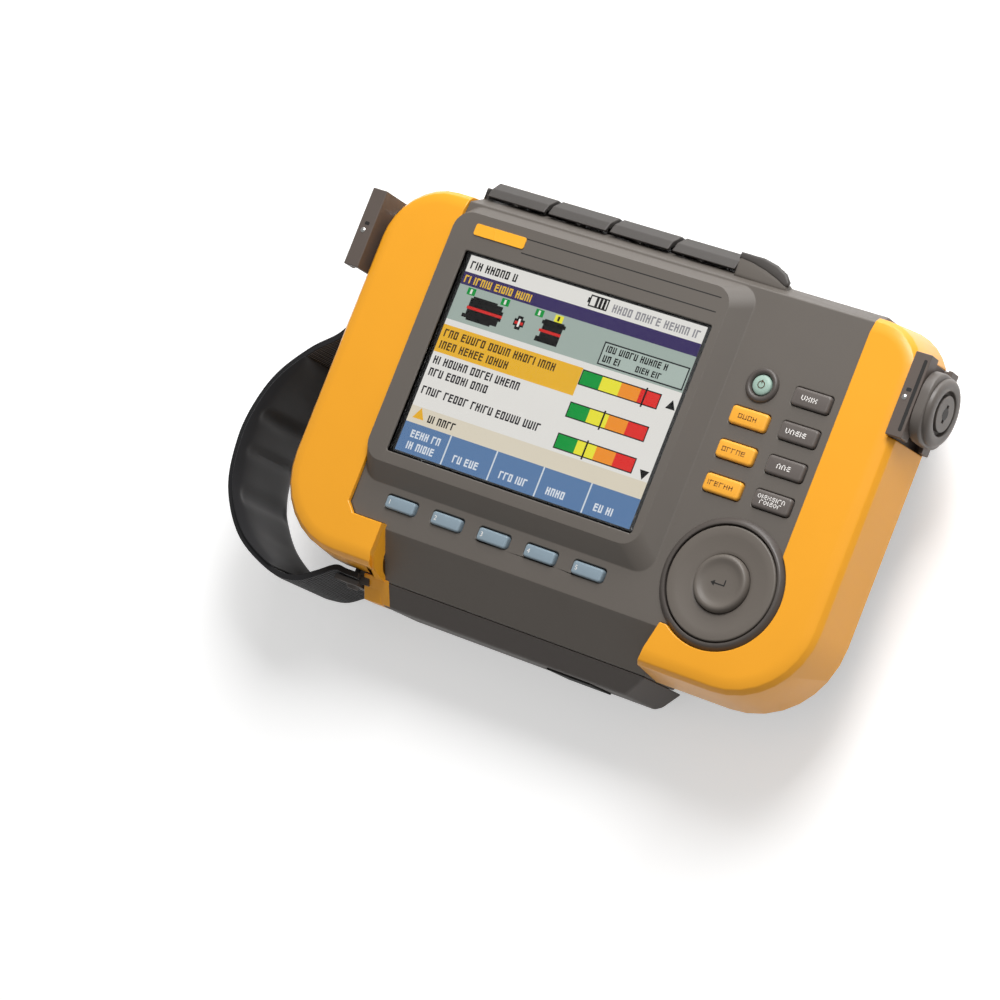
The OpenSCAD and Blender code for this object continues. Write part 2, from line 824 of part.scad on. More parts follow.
module power_button() {
    color([0.6, 0.78, 0.7]) centred() translate([amber_x, top_key_y, under_z - fit - flange_t]) {
        cylinder(h = flange_t, r = power_r + flange_lip);
        cylinder(h = key_top_z - under_z + fit + flange_t, r = power_r);
    }
}

module power_ring() {
    color([0.3, 0.29, 0.27]) centred() translate([amber_x, top_key_y, panel_z]) difference() {
        cylinder(h = power_ring_rise, r1 = power_ring_r, r2 = power_ring_r - lap);
        translate([0, 0, -lap]) cylinder(h = power_ring_rise + 2 * lap, r = power_r + fit);
    }
}

module at_dial(z) {
    translate([dial_x, dial_y, z]) children();
}

module dial_collar() {
    color([0.33, 0.31, 0.29]) centred() at_dial(panel_z) rotate_extrude() polygon([
        [collar_in_r, 0], [collar_r, 0], [collar_r, collar_bevel / 2],
        [collar_r - 2 * collar_bevel, collar_rise], [collar_in_r + lap, collar_rise],
        [collar_in_r, collar_rise - lap]
    ]);
}

module nav_disc() {
    foot_l = nav_flange_z - gimbal_z - gimbal_t;
    nav_h = nav_top_z - nav_flange_z;
    color([0.47, 0.42, 0.4]) centred() at_dial(nav_flange_z) {
        rotate_extrude() polygon([
            [nav_hole_r, 0], [nav_flange_r, 0], [nav_flange_r, flange_t], [nav_r, flange_t],
            [nav_r, nav_h - nav_bevel], [nav_r - nav_bevel, nav_h],
            [nav_hole_r + nav_slope_w, nav_h - nav_bevel], [nav_hole_r, nav_h - nav_bevel / 4]
        ]);
        for (s = [-1, 1]) translate([0, s * gimbal_r, 3 * running - foot_l])
            cylinder(h = foot_l, r = pivot_post_r);
    }
}

module nav_gimbal() {
    color([0.75, 0.75, 0.72]) centred() at_dial(gimbal_z) difference() {
        cylinder(h = gimbal_t, r = gimbal_out_r);
        translate([0, 0, -lap]) cylinder(h = gimbal_t + 2 * lap, r = gimbal_in_r);
    }
}

module enter_button() {
    stem_z = membrane_top_z + key_travel + fit;
    color([0.45, 0.41, 0.38]) centred() at_dial(0) rotate_extrude() polygon([
        [0, stem_z], [enter_r, stem_z], [enter_r, enter_top_z - 2 * enter_dish],
        [enter_r - enter_rim, enter_top_z - running], [enter_r - 2 * enter_rim, enter_top_z],
        [enter_r - 3 * enter_rim, enter_top_z - enter_dish], [0, enter_top_z - enter_dish]
    ]);
}

module at_main_screws(z) {
    for (x = [-1, 1], y = [-1, 1])
        translate([main_x + x * (main_w / 2 - main_screw_inset), y * (main_h / 2 - main_screw_inset), z])
            children();
}

module main_board() {
    color([0.1, 0.38, 0.2]) centred() translate([main_x, 0, main_z]) difference() {
        slab(main_w, main_h, board_t, main_r);
        translate([-main_x, 0, 0]) {
            at_main_screws(-lap) cylinder(h = board_t + 2 * lap, r = board_screw_r + fit);
            screw_holes(-lap, board_t + 2 * lap, boss_r + main_gap);
        }
    }
}

// Flat inner plate with posts for the main board, carried by the rear case's bay wall
module chassis() {
    color([0.72, 0.72, 0.7]) centred() difference() {
        union() {
            translate([main_x, 0, chassis_z]) slab(main_w, main_h, chassis_t, main_r);
            at_main_screws(chassis_z) cylinder(h = main_z - chassis_z, r = post_r);
            translate([bay_x, bay_y, split_z]) linear_extrude(chassis_z - split_z + lap) difference() {
                round_rect(battery_w + 2 * wall, battery_h + 2 * wall, wall);
                round_rect(battery_w, battery_h, lap);
            }
        }
        at_main_screws(main_z - board_screw_l)
            cylinder(h = board_screw_l + lap, r = board_screw_r + running);
        screw_holes(chassis_z - lap, chassis_t + 2 * lap, boss_r + main_gap);
    }
}

module board_screws() {
    color([0.75, 0.75, 0.75]) centred() at_main_screws(main_z - board_screw_l + board_t + lap) {
        cylinder(h = board_screw_l - lap, r = board_screw_r);
        translate([0, 0, board_screw_l - lap]) cylinder(h = board_screw_head_t, r = board_screw_head_r);
    }
}

// Flat cable from the display down to the main board
module display_cable() {
    top = frame_rear_z;
    low = main_z + board_t;
    y0 = screen_y - lcd_h / 4;
    y1 = y0 - flex_run;
    color([0.8, 0.55, 0.2]) centred() along_x(screen_x - flex_w / 2, screen_x + flex_w / 2) polygon([
        [y0, top], [y1, top - flex_foot], [y1, low + flex_rise], [y0 - flex_turn, low + flex_t],
        [y0 + flex_foot, low + flex_t], [y0 + flex_foot, low], [y0 - flex_turn, low],
        [y1 - flex_t, low + flex_rise], [y1 - flex_t, top - flex_foot + flex_t], [y0 - 2 * flex_t, top]
    ]);
}

module battery_pack() {
    color([0.16, 0.17, 0.2]) centred() translate([bay_x, bay_y, battery_z])
        slab(battery_w - contact_t, battery_h, battery_t, battery_r);
}

module battery_contacts() {
    color([0.8, 0.65, 0.3]) centred() for (k = [-1, 0, 1])
        translate([
            bay_x + battery_w / 2 - contact_t / 2 + fit, bay_y + k * contact_h, chassis_z - contact_h
        ]) cube([contact_t / 2 - 2 * fit, contact_h / 3, contact_h]);
}

module battery_door() {
    color([0.27, 0.26, 0.25]) centred() difference() {
        union() {
            translate([bay_x, bay_y + door_hinge_r / 2, door_z])
                slab(door_w, door_h - door_hinge_r, door_t, lap);
            translate([bay_x - door_w / 2, door_hinge_y, door_z + door_hinge_r]) rotate([0, 90, 0])
                cylinder(h = door_w, r = door_hinge_r);
        }
        for (s = [-1, 1]) translate([bay_x + s * door_screw_x, door_screw_y, door_z - lap]) {
            cylinder(h = door_t + 2 * lap, r = door_screw_r + 2 * running);
            cylinder(h = door_screw_head_t + lap + bond, r = door_screw_head_r + 2 * running);
        }
    }
}

module door_screw(s) {
    color([0.7, 0.7, 0.7]) centred() translate([bay_x + s * door_screw_x, door_screw_y, door_z])
        difference() {
            union() {
                cylinder(h = door_screw_head_t, r = door_screw_head_r);
                cylinder(h = door_screw_l, r = door_screw_r);
            }
            cube([door_screw_head_r * 4, slot_w / 2, door_screw_head_t], center = true);
        }
}

module rear_feet() {
    color([0.12, 0.12, 0.12]) centred() for (x = [-1, 1], y = [-1, 1])
        translate([x * foot_x, y * foot_y, 0]) cylinder(h = rear_z + foot_recess - bond, r = foot_r);
}

module port_flap(k) {
    x0 = flap_x + (k - 1) * flap_pitch + flap_gap / 2;
    w = flap_pitch - flap_gap;
    low = half_h + fit;
    color([0.38, 0.36, 0.35]) centred() difference() {
        union() {
            along_x(x0, x0 + w) polygon([
                [low, flap_front_z], [low + flap_ridge, flap_front_z - flap_slant],
                [flap_top_y, flap_front_z - flap_brow], [flap_top_y, rod_z], [flap_top_y - flap_t, rod_z],
                [flap_top_y - flap_t, flap_front_z - flap_brow - flap_t / 2],
                [low + flap_ridge - flap_t / 2, flap_front_z - flap_slant - flap_t],
                [low, flap_front_z - flap_t]
            ]);
            translate([x0, rod_y, rod_z]) rotate([0, 90, 0]) cylinder(h = w, r = barrel_r);
        }
        translate([x0 - lap, rod_y, rod_z]) rotate([0, 90, 0])
            cylinder(h = w + 2 * lap, r = rod_r + running);
    }
}

module hinge_rod() {
    color([0.6, 0.6, 0.6]) centred() translate([flap_x - fit - lug_w, rod_y, rod_z]) rotate([0, 90, 0])
        cylinder(h = flap_row_w + 2 * (fit + lug_w), r = rod_r);
}

module socket(k, r, bore) {
    at_socket(k) difference() {
        translate([0, 0, -socket_up]) cylinder(h = socket_up + socket_in, r = r);
        translate([0, 0, -socket_up - lap]) cylinder(h = socket_in * 0.7, r = bore);
    }
}

module power_jack() {
    color([0.12, 0.12, 0.12]) centred() {
        socket(0, jack_r, jack_r * 0.68);
        at_socket(0) translate([0, 0, data_tongue_t - socket_up]) cylinder(h = socket_in, r = jack_r * 0.25);
    }
}

module tacho_socket() {
    color([0.65, 0.65, 0.66]) centred() socket(1, tacho_r, tacho_r * 0.74);
}

module sensor_socket() {
    color([0.75, 0.75, 0.76]) centred() {
        socket(2, sensor_r, sensor_r * 0.76);
        at_socket(2) for (x = [-1, 1], y = [-1, 1])
            translate([x * sensor_r * 0.3, y * sensor_r * 0.3, data_tongue_t - socket_up])
                cylinder(h = socket_in, r = pin_r);
    }
}

module data_socket() {
    color([0.7, 0.7, 0.72]) centred() at_socket(3) difference() {
        translate([-data_w / 2, -data_d / 2, -socket_up]) cube([data_w, data_d, socket_up + socket_in]);
        translate([0, 0, -socket_up]) difference() {
            cube([data_w - 2 * data_shell_t, data_d - 2 * data_shell_t, socket_in], center = true);
            translate([0, data_tongue_t, slot_d])
                cube([data_w * 0.6, data_tongue_t, socket_in], center = true);
        }
    }
}

// Channel of the right rail; the left one is its mirror image
module rail() {
    difference() {
        translate([rail_base_x, rail_y + rail_h / 2, 0]) rotate([90, 0, 0])
            linear_extrude(rail_h) rail_section();
        at_rail_screws() {
            translate([0, 0, -rail_web]) cylinder(h = cut, r = rail_screw_r + fit);
            translate([0, 0, -lap]) cylinder(h = lap + running, r = rail_screw_head_r + fit);
            cylinder(h = rail_screw_head_r - rail_screw_r, r1 = rail_screw_head_r + fit,
                     r2 = rail_screw_r + fit);
        }
    }
}

module rail_section() {
    out = rail_top_x - rail_base_x;
    difference() {
        translate([0, rail_rear_z]) square([out, rail_d]);
        translate([rail_web, rail_rear_z + rail_side])
            square([out - rail_web - rail_lip_t, rail_d - 2 * rail_side]);
        translate([rail_web, rail_rear_z + rail_side + rail_lip])
            square([out, rail_d - 2 * rail_side - 2 * rail_lip]);
    }
}

module left_rail() {
    color([0.33, 0.3, 0.28]) centred() translate([-rail_more, 0, 0]) mirror([1, 0, 0]) rail();
}

module right_rail() {
    color([0.33, 0.3, 0.28]) centred() rail();
}

module rail_screws() {
    color([0.6, 0.6, 0.6]) centred() at_rail_screws() {
        translate([0, 0, running])
            cylinder(h = rail_screw_head_r - rail_screw_r, r1 = rail_screw_head_r, r2 = rail_screw_r);
        cylinder(h = rail_screw_l, r = rail_screw_r);
    }
}

// Hub: T-shaped base in the channel, neck between the lips and the round head outside
module hub() {
    base_x = rail_base_x + rail_web + slide_gap;
    base_t = rail_top_x - rail_lip_t - slide_gap - base_x;
    base_d = rail_d - 2 * rail_side - 2 * slide_gap;
    neck_d = base_d - 2 * rail_lip;
    color([0.4, 0.38, 0.36]) centred() difference() {
        union() {
            translate([base_x + base_t / 2, hub_y, rail_mid_z])
                cube([base_t, hub_base_h, base_d], center = true);
            translate([base_x, hub_y - hub_base_h / 2, rail_mid_z - neck_d / 2])
                cube([hub_x - base_x + lap, hub_base_h, neck_d]);
            translate([hub_x, hub_y, rail_mid_z]) rotate([0, 90, 0]) rotate_extrude() polygon([
                [0, 0], [hub_r - hub_chamfer, 0], [hub_r, hub_chamfer], [hub_r, hub_t - 2 * hub_chamfer],
                [hub_r - 2 * hub_chamfer, hub_t], [0, hub_t]
            ]);
        }
        translate([hub_x + hub_t - hub_bore_d, hub_y, rail_mid_z]) rotate([0, 90, 0])
            cylinder(h = cut, r = hub_bore_r);
        translate([base_x + base_t / 2, hub_y, rail_mid_z]) rotate([0, 90, 0])
            cylinder(h = cut, r = hub_stem_r + running);
    }
}

module hub_screw() {
    base_x = rail_base_x + rail_web + slide_gap;
    stem_l = hub_x + hub_t - hub_bore_d - base_x - (rail_top_x - rail_lip_t - slide_gap - base_x) / 2;
    seat_x = hub_x + hub_t - hub_bore_d + running;
    color([0.45, 0.43, 0.41]) centred() translate([seat_x, hub_y, rail_mid_z]) rotate([0, 90, 0])
        difference() {
            union() {
                cylinder(h = hub_bore_d - running, r = hub_screw_r);
                translate([0, 0, running - stem_l]) cylinder(h = stem_l, r = hub_stem_r);
            }
            translate([0, 0, hub_bore_d]) cube([slot_w, hub_screw_r, 2 * slot_d], center = true);
        }
}

module hand_strap() {
    steps = strap_steps * (len(strap_spots) - 1);
    color([0.1, 0.1, 0.11]) centred() difference() {
        translate([0, 0, strap_z]) linear_extrude(strap_w) polygon(band(0, 1, 0, strap_t, steps));
        at_strap_screws() cylinder(h = plate_l, r = strap_screw_r + fit, center = true);
    }
}

// Pad inside the strap: thickest in the middle, tapering to its two ends
module strap_pad() {
    steps = strap_steps * 6;
    rise = [for (i = [0:steps]) fit + pad_t * min(1, 3 * i / steps, 3 * (steps - i) / steps)];
    near = [for (i = [0:steps]) let (u = pad_shares[0] + (pad_shares[1] - pad_shares[0]) * i / steps)
        strap_at(u) - fit * strap_normal(u)];
    far = [for (i = [steps:-1:0]) let (u = pad_shares[0] + (pad_shares[1] - pad_shares[0]) * i / steps)
        strap_at(u) - (rise[i] + lap) * strap_normal(u)];
    color([0.14, 0.14, 0.15]) centred() translate([0, 0, strap_z - pad_margin])
        linear_extrude(strap_w + 2 * pad_margin) polygon(concat(near, far));
}

// Plates that clamp the two ends of the strap on the case, each with its two screws
module strap_plates() {
    lift = strap_lift + strap_t + plate_gap;
    color([0.3, 0.29, 0.28]) centred() {
        translate([-strap_floor_x - lift - plate_t, strap_high_y - plate_l, strap_z + wall])
            cube([plate_t, plate_l, strap_w - 2 * wall]);
        translate([strap_low_x - plate_l, -half_h - lift - plate_t, strap_z + wall])
            cube([plate_l, plate_t, strap_w - 2 * wall]);
        at_strap_screws() {
            translate([0, 0, lift + plate_t - strap_screw_l])
                cylinder(h = strap_screw_l, r = strap_screw_r);
            translate([0, 0, lift + plate_t])
                cylinder(h = strap_screw_head_t, r1 = strap_screw_r * 2, r2 = strap_screw_r * 1.4);
        }
    }
}

module nameplate() {
    plate_x = screen_x - screen_w / 2 + nameplate_w / 2 - nameplate_in;
    color([0.96, 0.7, 0.22]) centred() translate([plate_x, half_h - nameplate_down, body_d])
        slab(nameplate_w, nameplate_h, nameplate_t, nameplate_in);
}

front_case();
rear_case();
left_bumper();
right_bumper();
heel_bar();
heel_pad();
case_gasket();
case_screws();
screen_lens();
lens_gasket();
lcd_panel();
lcd_frame();
keypad_membrane();
soft_key(1);  // soft_key_1
soft_key(2);  // soft_key_2
soft_key(3);  // soft_key_3
soft_key(4);  // soft_key_4
soft_key(5);  // soft_key_5
power_button();
power_ring();
amber_key(1);  // amber_key_1
amber_key(2);  // amber_key_2
amber_key(3);  // amber_key_3
grey_key(1);  // grey_key_1
grey_key(2);  // grey_key_2
grey_key(3);  // grey_key_3
grey_key(4);  // grey_key_4
dial_collar();
nav_disc();
nav_gimbal();
enter_button();
main_board();
keypad_board();
board_screws();
chassis();
display_cable();
battery_pack();
battery_contacts();
battery_door();
door_screw(-1);  // door_screw_1
door_screw(1);  // door_screw_2
rear_feet();
port_flap(1);  // port_flap_1
port_flap(2);  // port_flap_2
port_flap(3);  // port_flap_3
port_flap(4);  // port_flap_4
hinge_rod();
power_jack();
tacho_socket();
sensor_socket();
data_socket();
left_rail();
right_rail();
rail_screws();
hub();
hub_screw();
hand_strap();
strap_pad();
strap_plates();
nameplate();
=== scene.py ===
"""Handheld vibration meter lying on its back: shells, keys, dial, screen, flaps, rails, hub and strap."""
import json
import math
import random

import bmesh
import bpy
from mathutils import Matrix, Vector


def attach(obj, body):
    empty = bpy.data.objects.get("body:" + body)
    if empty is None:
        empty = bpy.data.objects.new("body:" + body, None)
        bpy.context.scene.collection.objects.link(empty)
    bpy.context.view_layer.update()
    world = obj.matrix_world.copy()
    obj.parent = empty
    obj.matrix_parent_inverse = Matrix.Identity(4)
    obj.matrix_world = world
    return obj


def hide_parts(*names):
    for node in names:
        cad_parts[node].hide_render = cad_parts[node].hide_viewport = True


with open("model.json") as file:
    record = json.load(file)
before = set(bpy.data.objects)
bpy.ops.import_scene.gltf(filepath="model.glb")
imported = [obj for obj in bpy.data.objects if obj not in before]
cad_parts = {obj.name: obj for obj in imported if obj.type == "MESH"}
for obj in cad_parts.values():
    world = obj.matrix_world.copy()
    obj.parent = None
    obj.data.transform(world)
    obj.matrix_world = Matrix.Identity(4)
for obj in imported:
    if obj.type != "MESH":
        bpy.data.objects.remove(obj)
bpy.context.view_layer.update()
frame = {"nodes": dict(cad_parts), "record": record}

MM = 0.001
# The middle of the screen in the part's frame, in millimetres: front face features are measured from it
SCREEN_X, SCREEN_Y, SCREEN_Z = -9.55, 15.475, 67.0

scene = bpy.context.scene


def spot(x, y, z=0.0):
    """Point measured in millimetres from the middle of the screen, in the part's frame."""
    return Vector((SCREEN_X + x, SCREEN_Y + y, SCREEN_Z + z)) * MM


def put(name, data):
    """New object in the scene."""
    obj = bpy.data.objects.new(name, data)
    scene.collection.objects.link(obj)
    return obj


def tone(red, green, blue):
    """Linear colour of a print or paint tone given in steps of 0 to 255."""
    def linear(v):
        v /= 255
        return v / 12.92 if v <= 0.04045 else ((v + 0.055) / 1.055) ** 2.4
    return (linear(red), linear(green), linear(blue), 1.0)


# ---- Camera -------------------------------------------------------------------------------------

# Its own right, up and back directions, its place in metres and its lens in millimetres
CAMERA_RIGHT, CAMERA_UP, CAMERA_BACK = (0.8189, 0.3652, -0.4428), (-0.2833, 0.9281, 0.2414), (0.4992, -0.0722, 0.8635)
CAMERA_AT = (0.73655, -0.141725, 1.3615)
CAMERA_LENS, CAMERA_SENSOR = 133.72, 36


def place_camera():
    """The view of the picture: from above the meter's right side, with its screen towards the camera."""
    data = bpy.data.cameras.new("studio_camera")
    data.sensor_width = CAMERA_SENSOR
    data.lens = CAMERA_LENS
    data.clip_end = 20
    camera = put("studio_camera", data)
    turn = Matrix((CAMERA_RIGHT, CAMERA_UP, CAMERA_BACK)).transposed().to_4x4()
    camera.matrix_world = Matrix.Translation(CAMERA_AT) @ turn
    scene.camera = camera


place_camera()


# ---- Finishes -----------------------------------------------------------------------------------

def feed(tree, node, values):
    """Puts a constant on each named socket of a node, or links another node's output to it."""
    for label, value in values.items():
        if isinstance(value, bpy.types.NodeSocket):
            tree.links.new(value, node.inputs[label])
        else:
            node.inputs[label].default_value = value
    return node


def add_node(tree, kind, values=None, **settings):
    """New node with its settings, then its sockets."""
    node = tree.nodes.new("ShaderNode" + kind)
    for name, value in settings.items():
        setattr(node, name, value)
    return feed(tree, node, values or {})


def reckon(tree, operation, *values):
    """Output of a new math node on one or two values."""
    return add_node(tree, "Math", dict(enumerate(values)), operation=operation).outputs[0]


def multiplied(tree, factor, first, second):
    """Output of a new node that multiplies two colours by a factor."""
    mix = add_node(tree, "Mix", {"Factor": factor, "A": first, "B": second}, data_type="RGBA", blend_type="MULTIPLY")
    return mix.outputs["Result"]


def group_io(name, inputs, outputs):
    """Empty shader group with its sockets: {name: (kind, default)}."""
    group = bpy.data.node_groups.new(name, "ShaderNodeTree")
    for label, (kind, default) in inputs.items():
        socket = group.interface.new_socket(label, in_out="INPUT", socket_type=kind)
        socket.default_value = default
    for label, kind in outputs.items():
        group.interface.new_socket(label, in_out="OUTPUT", socket_type=kind)
    return group, group.nodes.new("NodeGroupInput"), group.nodes.new("NodeGroupOutput")


def make_moulded_grain():
    """Fine spark texture of a moulded surface, as a normal."""
    group, given, out = group_io(
        "moulded_grain",
        {"Size": ("NodeSocketFloat", 2500.0), "Depth": ("NodeSocketFloat", 0.1)},
        {"Normal": "NodeSocketVector"})
    place = add_node(group, "TexCoord")
    noise = add_node(group, "TexNoise", {"Detail": 3, "Roughness": 0.6, "Vector": place.outputs["Object"],
                                         "Scale": given.outputs["Size"]})
    bump = add_node(group, "Bump", {"Distance": 0.0002, "Strength": given.outputs["Depth"],
                                    "Height": noise.outputs["Fac"]})
    feed(group, out, {"Normal": bump.outputs["Normal"]})
    return group


def make_handling():
    """Slow change of tone and gloss from handling: a colour and a roughness."""
    group, given, out = group_io(
        "handling",
        {"Color": ("NodeSocketColor", (0.5, 0.5, 0.5, 1)), "Roughness": ("NodeSocketFloat", 0.5),
         "Change": ("NodeSocketFloat", 0.08), "Size": ("NodeSocketFloat", 45.0)},
        {"Color": "NodeSocketColor", "Roughness": "NodeSocketFloat"})
    place = add_node(group, "TexCoord")
    slow = add_node(group, "TexNoise", {"Detail": 4, "Vector": place.outputs["Object"],
                                        "Scale": given.outputs["Size"]})
    amount = reckon(group, "MULTIPLY", reckon(group, "SUBTRACT", slow.outputs["Fac"], 0.5), given.outputs["Change"])
    shade = add_node(group, "HueSaturation", {"Color": given.outputs["Color"],
                                              "Value": reckon(group, "ADD", amount, 1)})
    feed(group, out, {"Color": shade.outputs["Color"],
                      "Roughness": reckon(group, "ADD", given.outputs["Roughness"], amount)})
    return group


def make_webbing():
    """Woven ribs of a strap on its own UV map: ribs run along the strap, picks across it."""
    group, given, out = group_io(
        "webbing",
        {"Ribs": ("NodeSocketFloat", 26.0), "Picks": ("NodeSocketFloat", 150.0),
         "Depth": ("NodeSocketFloat", 0.6)},
        {"Normal": "NodeSocketVector", "Mask": "NodeSocketFloat"})
    place = add_node(group, "TexCoord")
    split = add_node(group, "SeparateXYZ", {0: place.outputs["UV"]})
    waves = []
    for axis, count in (("X", "Picks"), ("Y", "Ribs")):
        across = reckon(group, "MULTIPLY", split.outputs[axis], given.outputs[count])
        wave = reckon(group, "SINE", reckon(group, "MULTIPLY", across, math.pi))
        waves.append(reckon(group, "ABSOLUTE", wave))
    # High on the raised threads: the strap's finish also paints shade where it is low
    raised = reckon(group, "MULTIPLY", *waves)
    bump = add_node(group, "Bump", {"Distance": 0.0006, "Strength": given.outputs["Depth"], "Height": raised})
    feed(group, out, {"Normal": bump.outputs["Normal"], "Mask": raised})
    return group


MOULDED_GRAIN = make_moulded_grain()
HANDLING = make_handling()
WEBBING = make_webbing()


def blank(name):
    """New material: itself, its tree and its Principled shader."""
    mat = bpy.data.materials.new(name)
    mat.use_nodes = True
    return mat, mat.node_tree, mat.node_tree.nodes["Principled BSDF"]


def place_group(tree, group, **values):
    """A shared group in a material, with the material's own values."""
    node = tree.nodes.new("ShaderNodeGroup")
    node.node_tree = group
    return feed(tree, node, values)


def moulding(name, colour, rough=0.5, grain=2500.0, depth=0.1, change=0.08, specular=0.5, coat=0.0, metal=0.0,
             sheen=0.0):
    """Moulded or pressed finish: base tone with slow handling changes and a fine grain."""
    mat, tree, shader = blank(name)
    touched = place_group(tree, HANDLING, Color=colour, Roughness=rough, Change=change)
    texture = place_group(tree, MOULDED_GRAIN, Size=grain, Depth=depth)
    feed(tree, shader, {
        "Specular IOR Level": specular, "Coat Weight": coat, "Coat Roughness": 0.15, "Metallic": metal,
        "Sheen Weight": sheen, "Base Color": touched.outputs["Color"], "Roughness": touched.outputs["Roughness"],
        "Normal": texture.outputs["Normal"]})
    return mat


def window_finish():
    """Clear window over the screen, with the faintest smears."""
    mat, tree, shader = blank("window")
    clear = (0.97, 0.98, 0.98, 1)
    smears = place_group(tree, HANDLING, Color=clear, Change=0.03, Size=60.0)
    shader.inputs["Base Color"].default_value = clear
    feed(tree, shader, {"Transmission Weight": 1, "IOR": 1.25, "Roughness": 0, "Base Color": smears.outputs["Color"]})
    return mat


def picture_finish():
    """Lit picture: each field's tone is an attribute of its face, behind a faint grid of cells."""
    mat, tree, shader = blank("lit_picture")
    ink = add_node(tree, "Attribute", attribute_name="ink")
    place = add_node(tree, "TexCoord")
    cells = add_node(tree, "TexChecker", {"Color1": (1, 1, 1, 1), "Color2": (0.93, 0.93, 0.93, 1), "Scale": 2800,
                                          "Vector": place.outputs["Object"]})
    feed(tree, shader, {
        "Roughness": 0.6, "Specular IOR Level": 0, "Base Color": (0.004, 0.004, 0.004, 1),
        "Emission Color": multiplied(tree, 1, ink.outputs["Color"], cells.outputs["Color"]),
        "Emission Strength": 0.92})
    return mat


def strap_finish(name, colour, ribs, picks, depth):
    """Woven finish of the strap and its pad, with painted shade in the hollows between the ribs."""
    mat, tree, shader = blank(name)
    weave = place_group(tree, WEBBING, Ribs=ribs, Picks=picks, Depth=depth)
    touched = place_group(tree, HANDLING, Color=colour, Roughness=0.85, Change=0.25, Size=60.0)
    # Painted shade: the hollows between the raised threads are darkened to about a third of the strap's tone
    between = reckon(tree, "SUBTRACT", 1, weave.outputs["Mask"])
    feed(tree, shader, {
        "Sheen Weight": 0.35, "Sheen Roughness": 0.5, "Specular IOR Level": 0.25,
        "Base Color": multiplied(tree, between, touched.outputs["Color"], (0.35, 0.35, 0.36, 1)),
        "Roughness": touched.outputs["Roughness"], "Normal": weave.outputs["Normal"]})
    return mat


FINISHES = {
    "case_grey": moulding("case_grey", tone(98, 92, 86), 0.55, 2600, 0.16),
    "rear_grey": moulding("rear_grey", tone(74, 69, 65), 0.6, 2200, 0.2),
    "bumper_amber": moulding("bumper_amber", tone(244, 167, 34), 0.36, 3200, 0.05, 0.05, coat=0.1),
    "heel_dark": moulding("heel_dark", tone(82, 76, 72), 0.6, 2200, 0.2),
    "black_rubber": moulding("black_rubber", tone(34, 33, 33), 0.75, 1800, 0.2, specular=0.3),
    "steel": moulding("steel", (0.62, 0.62, 0.61, 1), 0.3, 4000, 0.08, 0.1, metal=1.0),
    "window": window_finish(),
    "display": moulding("display", tone(12, 12, 13), 0.4, 3000, 0.03),
    "sheet_metal": moulding("sheet_metal", (0.7, 0.7, 0.69, 1), 0.38, 3000, 0.1, 0.1, metal=1.0),
    "power_green": moulding("power_green", tone(158, 184, 171), 0.45, 2600, 0.08, sheen=0.1),
    "ring_dark": moulding("ring_dark", tone(82, 76, 72), 0.4, 2600, 0.08),
    "dial_grey": moulding("dial_grey", tone(104, 97, 90), 0.48, 2800, 0.12),
    "board_green": moulding("board_green", tone(28, 92, 46), 0.35, 1500, 0.08, coat=0.4),
    "flex_amber": moulding("flex_amber", tone(190, 126, 44), 0.3, 1500, 0.05, coat=0.3),
    "battery_wrap": moulding("battery_wrap", tone(40, 44, 58), 0.3, 1500, 0.04, coat=0.2),
    "contact_brass": moulding("contact_brass", (0.83, 0.62, 0.26, 1), 0.28, 4000, 0.05, 0.1, metal=1.0),
    "socket_black": moulding("socket_black", tone(36, 35, 35), 0.5, 2400, 0.12),
    "socket_metal": moulding("socket_metal", (0.6, 0.6, 0.6, 1), 0.27, 4000, 0.06, 0.1, metal=1.0),
    "rail_dark": moulding("rail_dark", tone(92, 82, 76), 0.5, 2300, 0.18),
    "hub_grey": moulding("hub_grey", tone(96, 90, 85), 0.42, 2500, 0.12),
    "strap_black": strap_finish("strap_black", tone(38, 38, 42), 26.0, 150.0, 0.6),
    "pad_black": strap_finish("pad_black", tone(44, 44, 48), 40.0, 90.0, 0.35),
    "plate_amber": moulding("plate_amber", tone(252, 178, 44), 0.28, 3200, 0.03, coat=0.3),
    "soft_key_blue": moulding("soft_key_blue", tone(138, 156, 168), 0.45, 2600, 0.08, sheen=0.1),
    "key_amber": moulding("key_amber", tone(248, 174, 52), 0.45, 2600, 0.08, sheen=0.1),
    "key_grey": moulding("key_grey", tone(98, 91, 87), 0.42, 2600, 0.1, sheen=0.1),
    "flap_dark": moulding("flap_dark", tone(68, 64, 61), 0.5, 2400, 0.15),
}
INK_DARK = moulding("ink_dark", tone(70, 48, 22), 0.5, 2600, 0.05)
INK_BROWN = moulding("ink_brown", tone(150, 100, 40), 0.5, 2600, 0.05)
INK_WHITE = moulding("ink_white", tone(236, 232, 228), 0.5, 2600, 0.05)
# Near-black for the print on the centre button, and for painted shade: thin dark sheets standing for the rails'
# notches, the right rail's channel, the grooves above the screen and the hub screw's socket
INK_AND_PAINTED_SHADE = moulding("print_and_painted_shade", tone(30, 28, 27), 0.6, 2600, 0.05)
PICTURE = picture_finish()

SLOT_OF = {entry["node"]: entry["material_slot"] for entry in frame["record"]["subparts"]}


def dress_nodes():
    """Every carried-over node takes the finish of its slot."""
    for node, obj in frame["nodes"].items():
        obj.data.materials.clear()
        obj.data.materials.append(FINISHES[SLOT_OF[node]])


dress_nodes()


# ---- Making pieces ------------------------------------------------------------------------------

def add_piece(name, bm, body, slot, finish=None, stands_for=(), sharp=35):
    """Turns a finished bmesh into a piece on a body."""
    bmesh.ops.recalc_face_normals(bm, faces=bm.faces)
    mesh = bpy.data.meshes.new(name)
    bm.to_mesh(mesh)
    bm.free()
    mesh.materials.append(finish or FINISHES[slot])
    mesh.shade_smooth()
    mesh.set_sharp_from_angle(angle=math.radians(sharp))
    obj = put(name, mesh)
    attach(obj, body)
    if stands_for:
        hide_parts(*stands_for)
    return obj


